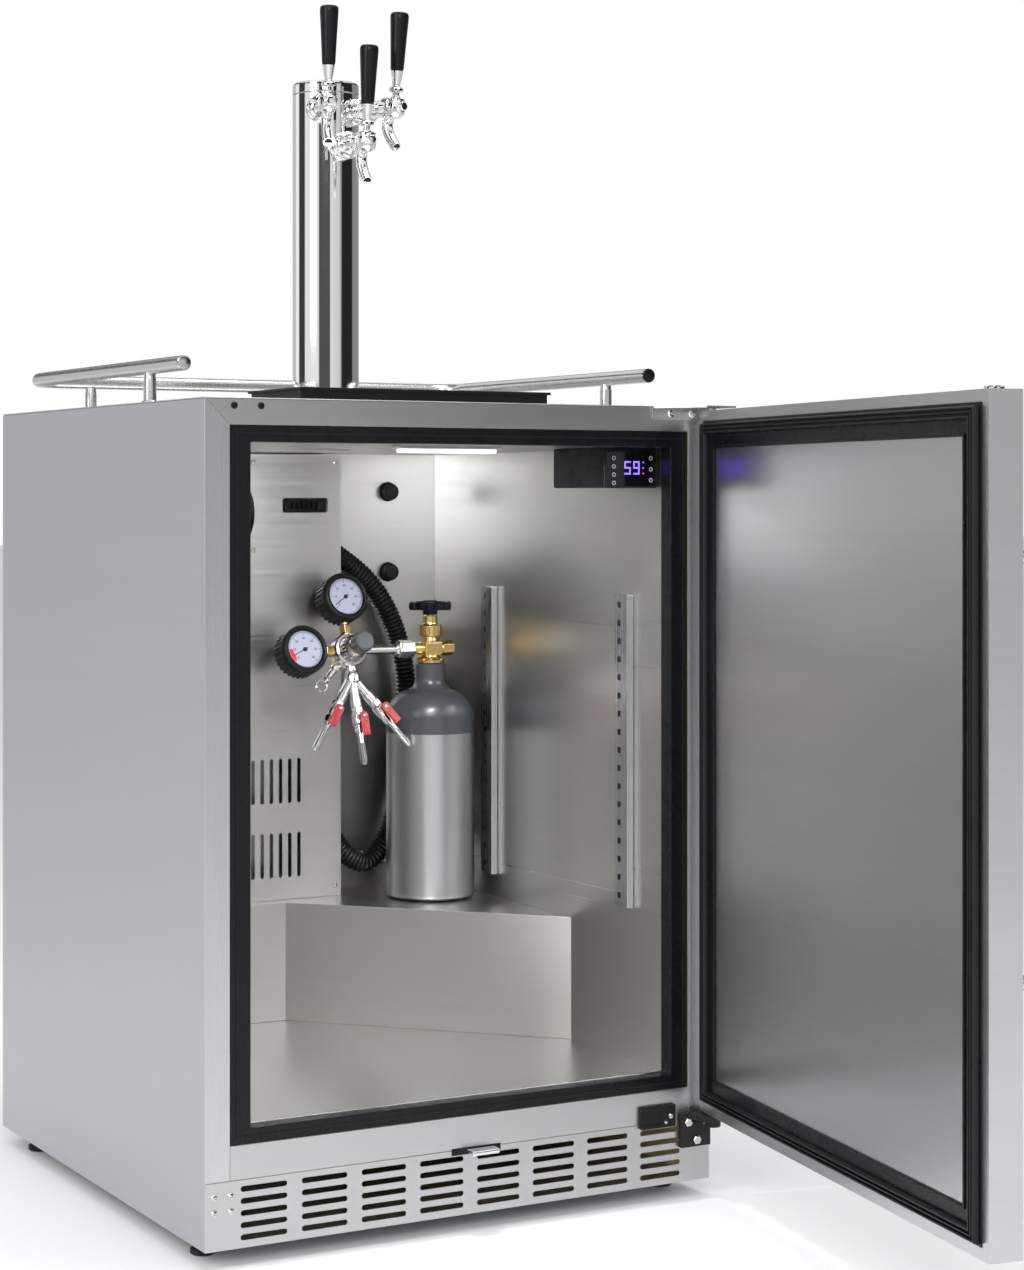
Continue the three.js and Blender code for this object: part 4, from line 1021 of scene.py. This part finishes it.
to_left = spot(0, 0, OUTLET, -90, "Y")
to_right = spot(0, 0, OUTLET, 90, "Y")
valve = joined(
    "cylinder_valve_made",
    turned("valve_stalk", [
        [0, 285.3], [16.4, 285.3], [17.2, 286], [17.2, 289], [15, 291.4], [11.4, 293], [10.6, 296],
        [10.6, 312], [9, 316], [9, 317], [13, 318], [14, 319], [14, 331], [13, 332.4], [9.6, 333],
        [9, 335], [9, 342.6], [4, 343], [4, 357], [0, 357],
    ], 48),
    block("valve_cube", (-12, -11, 295), (12, 11, 311), 1.6, 3),
    turned("valve_hex", [[0, 286], [17.6, 286], [17.6, 290.6], [16, 291.6], [0, 291.6]], 6, 0.6),
    turned("outlet", [[0, 8], [7, 8], [7, 24], [0, 24]], 40, place=to_left),
    turned("burst_plug", [[0, 8], [8, 8], [8, 16], [0, 16]], 32, place=to_right),
    turned("burst_nut", [[0, 15], [10, 15], [10, 29], [8.6, 31], [4, 31.8], [0, 31.8]], 6, 0.6, to_right),
    turned("gland_nut", [[0, 320], [14.6, 320], [14.6, 330], [13.4, 331.4], [0, 331.4]], 6, 0.6),
)
kept(moved(valve, gas_place), valve_brass, "gas_bottle", "cylinder_valve")

lobes = [turned("handwheel_made", [
    [4.4, 344.2], [8.8, 344.2], [9, 345], [9, 349], [12, 350], [21, 350], [23, 351], [23.6, 354],
    [23, 358.6], [21.6, 360], [19.4, 360], [17.6, 357], [9.4, 356.4], [9, 360.6], [8, 361.6],
    [4.4, 361.6], [4.4, 344.2],
], 72)]
for turn in ring_of(6, "Z"):
    lobes.append(turned("lobe", [
        [0, 350], [4.6, 350], [6, 351.4], [6.2, 355], [6, 358.4], [4.6, 360], [0, 360],
    ], 24, place=Matrix.Translation(turn @ Vector((22.6, 0, 0)))))
handwheel = moved(joined("handwheel_made", *lobes), gas_place)
kept(handwheel, black_satin, "handwheel", "valve_handwheel")
profile = [[0, 357.2], [3.9, 357.2], [3.9, 360.4], [2.6, 361.4], [0, 361.5]]
kept(turned("spindle_nut", profile, 6, 0.3, gas_place), nickel, "gas_bottle")

# ---------------------------------------------------------------- regulator
REG = spot(80, GAS_Y, GAS_BASE + OUTLET, -18, "X")
RELIEF_TURN = Matrix.Rotation(math.radians(-135), 4, "Y")

body_parts = [turned("bowl", [
    [0, -14], [11, -16], [17, -15], [20, -12], [21, -9], [21, -2], [20.2, -1.4], [20.2, -0.6], [21, 0],
    [21, 6], [19.6, 8], [17, 9], [16.4, 12], [15, 20], [13, 24], [11.4, 26], [11, 30], [0, 30],
], 64, place=FACE_FRONT)]
for turn in ring_of(24):
    body_parts.append(block("bonnet_rib", (-0.8, -21, 14.2), (0.8, -10.5, 16.4), 0.5, 1, turn))
body_parts += [
    turned("inlet_stem", [
        [0, 10], [9, 10], [9, 18], [6, 21], [5.4, 22], [5.4, 66], [6, 73], [0, 73],
    ], 40, place=SIDEWAYS),
    turned("inlet_nut", [
        [0, 66], [9.4, 66], [11, 67.4], [11.4, 70], [11.4, 86], [10.4, 87.7], [0, 87.7],
    ], 6, 0.7, SIDEWAYS),
    turned("nut_collar", [[0, 62], [6.4, 62], [7.4, 63], [8.4, 67], [0, 67]], 40, place=SIDEWAYS),
]
gauge_nuts = []
for turn in (Matrix.Identity(4), Matrix.Rotation(math.radians(-90), 4, "Y")):
    profile = [[0, 12], [8.4, 12], [8.4, 20], [7, 21], [0, 21]]
    body_parts.append(turned("gauge_port", profile, 40, place=turn))
    profile = [[0, 21.5], [7.6, 21.5], [7.6, 31], [6.4, 32], [0, 32]]
    gauge_nuts.append(turned("gauge_nut", profile, 6, 0.5, turn))
    gauge_nuts.append(turned("gauge_stem", [[0, 20], [5, 20], [5, 37], [0, 37]], 40, place=turn))
kept(moved(joined("gauge_nuts", *gauge_nuts), REG), valve_brass, "gas_bottle")
body_parts += [
    turned("outlet_neck", [[0, -24], [6.5, -24], [6.5, -12], [0, -12]], 40),
    turned("safety", [
        [0, 17], [5.6, 17], [5.6, 32], [4.8, 33.4], [3.8, 34], [3.8, 46], [0, 46],
    ], 32, place=RELIEF_TURN),
    turned("safety_hex", [[0, 22], [6.6, 22], [6.6, 29], [0, 29]], 6, 0.5, RELIEF_TURN),
]
kept(moved(joined("regulator_made", *body_parts), REG), nickel, "gas_bottle", "regulator_body")

ribs = [turned("pressure_knob_made", [
    [0, 30.3], [11, 30.3], [12, 31], [12.4, 33], [12.4, 44], [11.6, 47], [9.4, 48.8], [0, 49],
], 48)]
for turn in ring_of(20, "Z"):
    ribs.append(block("grip_rib", (-0.7, 11.8, 33), (0.7, 12.9, 45), 0.4, 1, turn))
pressure_knob = moved(joined("pressure_knob_made", *ribs), REG @ FACE_FRONT)
kept(pressure_knob, knob_grey, "knob", "pressure_knob")

DIAL_FIGURES = ("0", "10", "20", "30", "40", "50", "60")
DIAL_START = 225
FIGURE_STEP = 45
MARKS_PER_FIGURE = 5


def dial_scale(name):
    """The marks and figures of a dial that faces +Z."""
    marks = []
    for index in range((len(DIAL_FIGURES) - 1) * MARKS_PER_FIGURE + 1):
        start, half = (19, 0.16) if index % MARKS_PER_FIGURE else (17.2, 0.28)
        angle = math.radians(DIAL_START - FIGURE_STEP / MARKS_PER_FIGURE * index)
        turn = Matrix.Rotation(angle, 4, "Z")
        marks.append(block("mark", (start, -half, 13.0), (21.2, half, 13.28), place=turn))
    marks.append(turned("mark_ring", [[21, 13.0], [21.5, 13.0], [21.5, 13.25], [21, 13.25], [21, 13.0]], 64))
    for index, figure in enumerate(DIAL_FIGURES):
        lay_down()
        bpy.ops.object.text_add()
        text = bpy.context.object.data
        text.body = figure
        text.size = 4.2 * MM
        text.align_x = "CENTER"
        text.align_y = "CENTER"
        text.extrude = 0.12 * MM
        bpy.ops.object.convert(target="MESH")
        lettered = modify(named("figure"), "WELD", merge_threshold=0.00001)
        angle = math.radians(DIAL_START - FIGURE_STEP * index)
        marks.append(moved(lettered, spot(13.6 * math.cos(angle), 13.6 * math.sin(angle), 13.14)))
    return joined(name, *marks)


def red_arc(name, first, last):
    """The coloured stretch of a dial between two angles."""
    arc = turned(name, [[15.5, 13.05], [20.6, 13.05], [20.6, 13.22], [15.5, 13.22], [15.5, 13.05]], 72)
    open_mesh(arc)
    for turn in (first, last + 180):
        normal = (math.sin(math.radians(turn)), -math.cos(math.radians(turn)), 0)
        bpy.ops.mesh.select_all(action="SELECT")
        bpy.ops.mesh.bisect(plane_co=(0, 0, 0), plane_no=normal, use_fill=True, clear_outer=True)
    return close_mesh()


def gauge(name, node, centre, red_share, needle_turn):
    """A round dial in a ribbed rubber boot: its rim, face, marks, figures, needle and cap."""
    place = REG @ Matrix.Translation(centre) @ FACE_FRONT
    parts = [turned(name + "_boot", [
        [0, -17], [23, -17], [26, -15.8], [28.2, -12], [28.6, -8], [28.6, 9], [30, 10], [29.8, 12.6],
        [28.6, 15], [27, 16.4], [25.4, 17], [24.4, 16.6], [24.2, 14.4], [24.2, 12.6], [0, 12.6],
    ], 72)]
    for turn in ring_of(30, "Z"):
        parts.append(block("boot_rib", (27.6, -1.3, -12), (30.0, 1.3, 10.5), 0.7, 2, turn))
    kept(moved(joined(name + "_boot", *parts), place), soft_rubber, "gas_bottle", node)
    profile = [[24.1, 12.8], [24.1, 15.2], [23.4, 15.9], [22.6, 15.4], [22.4, 12.8], [24.1, 12.8]]
    rim = turned(name + "_rim", profile, 72, place=place)
    kept(rim, black_satin, "gas_bottle")
    face = turned(name + "_face", [[0, 12.5], [23.4, 12.5], [23.4, 13.1], [0, 13.1]], 72, place=place)
    kept(face, dial_white, "gas_bottle")
    kept(moved(dial_scale(name + "_scale"), place), dial_ink, "gas_bottle")
    if red_share:
        kept(moved(red_arc(name + "_red", *red_share), place), dial_red, "gas_bottle")
    needle = block("needle", (-5, -0.5, 13.5), (17.5, 0.5, 13.9))
    hub = turned("hub", [[0, 13.1], [2.6, 13.1], [2.6, 14.4], [1.8, 15], [0, 15]], 24)
    needle = moved(joined(name + "_needle", needle, hub), place @ spot(0, 0, 0, needle_turn))
    kept(needle, dial_ink, "gas_bottle")


gauge("line_gauge", "gauge_line", (0, 0, 64), None, 214)
gauge("tank_gauge", "gauge_tank", (-64, 0, 0), (178, 222), 205)

profile = [[0, 48.1], [3.4, 48.1], [4.2, 49], [4.2, 51], [3, 52.3], [0, 52.3]]
pull = turned("relief_pull", profile, 32, place=RELIEF_TURN)
circle = []
for index in range(25):
    angle = math.tau * index / 24
    circle.append((-42.5 + 7 * math.cos(angle), 0, -42.5 + 7 * math.sin(angle)))
loop = bent("relief_loop", circle, 1.1, 16, smooth=False)
kept(moved(joined("relief_ring_made", pull, loop), REG), bright_chrome, "relief", "relief_ring")

# ---------------------------------------------------------------- gas manifold
HUB = REG @ Matrix.Translation((0, 0, -32))
BRANCHES = {"left": 36, "centre": 0, "right": -36}
LEVER_DROP = spot(0, 0, -52)
manifold_parts = [turned("manifold_knot", [
    [0, -9], [7, -9], [9, -7], [9.4, -2], [9.4, 2], [8.4, 5], [7.2, 6], [7.2, 7.6], [0, 7.6],
], 40)]
for angle in BRANCHES.values():
    turn = Matrix.Rotation(math.radians(angle), 4, "Y")
    leg = [[0, -6], [5.4, -6], [5.4, -26], [6.6, -27], [6.6, -38], [6, -39], [0, -39]]
    shell = [[0, -45], [6.8, -45], [7.4, -48], [7.4, -57], [6.8, -60], [0, -60]]
    barb = [
        [0, -69], [4.2, -69], [4.2, -74], [3.4, -75], [3.4, -82], [4.4, -82.4], [3.5, -87], [4.4, -87.4],
        [3.5, -92], [4.4, -92.4], [3.5, -97], [4.4, -97.4], [3, -107], [2.4, -108], [0, -108],
    ]
    manifold_parts += [
        turned("leg", leg, 32, place=turn),
        turned("leg_nut", [[0, -39], [7.6, -39], [7.6, -46], [0, -46]], 6, 0.5, turn),
        turned("valve_shell", shell, 32, place=turn),
        turned("low_nut", [[0, -60], [7.4, -60], [7.4, -70], [0, -70]], 6, 0.5, turn),
        turned("barb", barb, 28, place=turn),
        turned("gland", [[0, 4], [4.5, 4], [4.5, 12], [0, 12]], 24, place=turn @ LEVER_DROP @ FACE_FRONT),
    ]
kept(moved(joined("gas_manifold_made", *manifold_parts), HUB), bright_chrome, "gas_bottle", "gas_manifold")

for side, angle in BRANCHES.items():
    place = HUB @ Matrix.Rotation(math.radians(angle), 4, "Y")
    boss = [[0, 12.4], [5.2, 12.4], [5.5, 13], [5.5, 17], [4.8, 17.9], [0, 18]]
    lever = joined(
        "shutoff_%s_made" % side,
        turned("boss", boss, 32, place=LEVER_DROP @ FACE_FRONT),
        block("blade", (-5.4, -17.9, -76), (5.4, -15.2, -48.4), 1.2, 3),
        block("tongue", (-3.6, -18.6, -74), (3.6, -17.2, -58), 0.6, 2),
    )
    kept(moved(lever, place), red_dip, "shutoff_" + side, "shutoff_lever_" + side)
    kept(cross_screw("lever_screw", place @ facing_front(0, -18, -52), 2.6, 40), nickel, "shutoff_" + side)

# ---------------------------------------------------------------- door
PIN_X, PIN_Y = 290, -318
DOOR_LOW, DOOR_HIGH = 78, 838
DOOR_BACK, DOOR_FACE = -307, -341
OPEN_ANGLE = 80
SWING = spot(PIN_X, PIN_Y, 0, OPEN_ANGLE) @ Matrix.Translation((-PIN_X, -PIN_Y, 0))
BEHIND = Matrix.Rotation(math.radians(-90), 4, "X")


def hung(thing, finish, stands_for=None, angle=32):
    """A piece made with the door shut, then swung open with it."""
    return kept(moved(thing, SWING), finish, "door", stands_for, angle)


dressed("door_pan", door_steel, 0.9, 3)
dressed("door_foam", wall_foam, 0)
dressed("door_inner_panel", door_steel, 0.3)
dressed("door_frame", black_satin, 0.5)


def ridged_frame(name, half, low, high, back, ridges):
    """A gasket: a flat frame whose face is drawn into ridges that follow its four sides."""
    lay_down()
    centre = (0, back * MM, (low + high) / 2 * MM)
    bpy.ops.mesh.primitive_plane_add(size=1, location=centre, rotation=(math.radians(-90), 0, 0))
    thing = named(name)
    thing.scale = (2 * half * MM, (high - low) * MM, 1)
    settle(thing)
    open_mesh(thing)
    bpy.ops.mesh.select_mode(type="FACE")
    bpy.ops.mesh.select_all(action="SELECT")
    for inset, rise in ridges:
        bpy.ops.mesh.inset(thickness=inset * MM, depth=rise * MM)
    bpy.ops.mesh.delete(type="FACE")
    bpy.ops.mesh.select_mode(type="VERT")
    bpy.ops.mesh.select_all(action="DESELECT")
    bpy.ops.mesh.select_non_manifold()
    bpy.ops.mesh.bridge_edge_loops()
    bpy.ops.mesh.select_all(action="SELECT")
    bpy.ops.mesh.normals_make_consistent(inside=False)
    return close_mesh()


RIDGES = [
    (0.01, 3.2), (1.2, 2.6), (1.2, 0), (0.9, -3.4), (0.9, 0), (0.9, 3.4), (1.3, 0), (0.9, -3.4), (0.9, 0),
    (0.9, 3.4), (1.6, 0), (1.2, -2.6), (0.01, -3.2),
]
gasket = ridged_frame("door_gasket_made", 285.5, 92, 824, DOOR_BACK + 1.4, RIDGES)
hung(gasket, seal_rubber, "door_gasket", angle=25)

inner_bead = block("surround_bead", (-261.5, DOOR_BACK + 0.4, 116), (261.5, DOOR_BACK + 2.6, 800))
carved(inner_bead, block("bead_gap", (-258.5, DOOR_BACK - 6, 119), (258.5, DOOR_BACK + 8, 797)))
hung(eased(inner_bead, 0.8, 3), black_satin)

HANDLE_X, HANDLE_Y = -251.5, -391
handle_parts = [turned("door_handle_made", [
    [0, 265], [7.6, 265], [9, 265.9], [9.5, 267.4], [9.5, 732.6], [9, 734.1], [7.6, 735], [0, 735],
], 64, place=spot(HANDLE_X, HANDLE_Y, 0))]
for z in (310, 690):
    profile = [[0, 0.3], [9.4, 0.3], [9.4, 2], [8.4, 3], [7, 3.2], [7, 45], [0, 45]]
    handle_parts.append(turned("handle_post", profile, 40, place=facing_front(HANDLE_X, DOOR_FACE, z)))
hung(joined("door_handle_made", *handle_parts), tube_steel, "door_handle")

CAP_X, CAP_Y = -280, -324
profile = [[0, 0], [9, 0], [9, 2], [8.2, 3.2], [0, 3.6]]
hung(turned("door_top_cap", profile, 48, place=spot(CAP_X, CAP_Y, DOOR_HIGH)), bright_chrome)
profile = [[0, -4.4], [7, -4.4], [9, -3.4], [10, -1.6], [10, 0], [0, 0]]
hung(turned("door_low_cap", profile, 48, place=spot(CAP_X, CAP_Y, DOOR_LOW)), soft_rubber)
for z in (818, 800, 100, 118):
    hung(cross_screw("door_screw", Matrix.Translation((294, DOOR_BACK, z)) @ BEHIND, 3.2, z), nickel)

# ---------------------------------------------------------------- floor and light
lay_down()
bpy.ops.mesh.primitive_grid_add(x_subdivisions=2, y_subdivisions=2, size=80, location=(0, 0, -0.018))
floor = named("floor")
bench = Bench.named("pale_floor")
floor.data.materials.append(bench.shade(
    Base_Color=bench.blend(bench.noise((3, 3, 3)), (0.86, 0.86, 0.865, 1), (0.88, 0.88, 0.885, 1)),
    Roughness=0.55,
    Specular_IOR_Level=0.2,
))
floor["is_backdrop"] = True


def soft_box(name, place, aim, size, power, warmth=(1, 1, 1)):
    data = bpy.data.lights.new(name, "AREA")
    data.shape = "RECTANGLE"
    data.size, data.size_y = size
    data.energy = power
    data.color = warmth
    lamp_object = bpy.data.objects.new(name, data)
    bpy.context.scene.collection.objects.link(lamp_object)
    lamp_object.location = place
    lamp_object.rotation_euler = (Vector(aim) - Vector(place)).to_track_quat("-Z", "Y").to_euler()
    return lamp_object


soft_box("left_box", (-3.4, -1.2, 2.2), (-0.1, -0.2, 0.5), (1.4, 2.2), 45)
soft_box("front_box", (-1.9, -3.6, 2.3), (0, 0, 0.4), (1.4, 1.0), 50)
soft_box("top_box", (0.2, -0.4, 3.4), (0, 0, 0.6), (2.2, 1.6), 55)
soft_box("cabin_light", (0, -0.246, 0.788), (0, -0.1, 0.2), (0.10, 0.012), 2.2, (0.95, 0.98, 1.0))

# ---------------------------------------------------------------- the room that the metal reflects
CAMERA_BEARING = 243.6
ROOM_BANDS = [
    (-180, 0.55), (-130, 0.60), (-126, 1.0), (-108, 1.0), (-105, 0.05), (-79, 0.05), (-76, 0.92), (-25, 0.92),
    (-22, 0.09), (14, 0.09), (17, 0.85), (50, 0.70), (59, 0.02), (104, 0.02), (108, 0.26), (176, 0.34),
]


def bearing_share(angle):
    """Where an angle to the right of the camera falls on the radial gradient."""
    return ((CAMERA_BEARING + angle) / 360 + 0.5) % 1


world = bpy.data.worlds.new("studio")
bpy.context.scene.world = world
room_bench = Bench(world)
direction = room_bench.node("ShaderNodeTexCoord", output="Generated")
around = room_bench.node("ShaderNodeTexGradient", {"gradient_type": "RADIAL"}, {"Vector": direction})
bands = room_bench.ramp(around, sorted((bearing_share(angle), level) for angle, level in ROOM_BANDS))
up = room_bench.node("ShaderNodeSeparateXYZ", {}, {0: direction}, output=2)
above = room_bench.ramp(up, [(0.0, 0.0), (0.24, 0.0), (0.27, 1.0)])
CEILING_BANDS = [(0.0, 0.03), (0.40, 0.03), (0.43, 0.95), (0.72, 0.95), (0.76, 0.10), (1.0, 0.35)]
ceiling = room_bench.ramp(up, CEILING_BANDS)
reflected = room_bench.blend(above, bands, ceiling)
glossy = room_bench.node("ShaderNodeLightPath", output="Is Glossy Ray")
camera_ray = room_bench.node("ShaderNodeLightPath", output="Is Camera Ray")
soft = room_bench.blend(glossy, (0.75, 0.75, 0.76, 1), reflected)
colour = room_bench.blend(camera_ray, soft, (1, 1, 1, 1))
background = room_bench.node("ShaderNodeBackground", {}, {"Color": colour, "Strength": 1.0})
room_bench.node("ShaderNodeOutputWorld", {}, {0: background}, output=None)
bpy.context.scene.view_settings.view_transform = "Standard"

low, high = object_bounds()
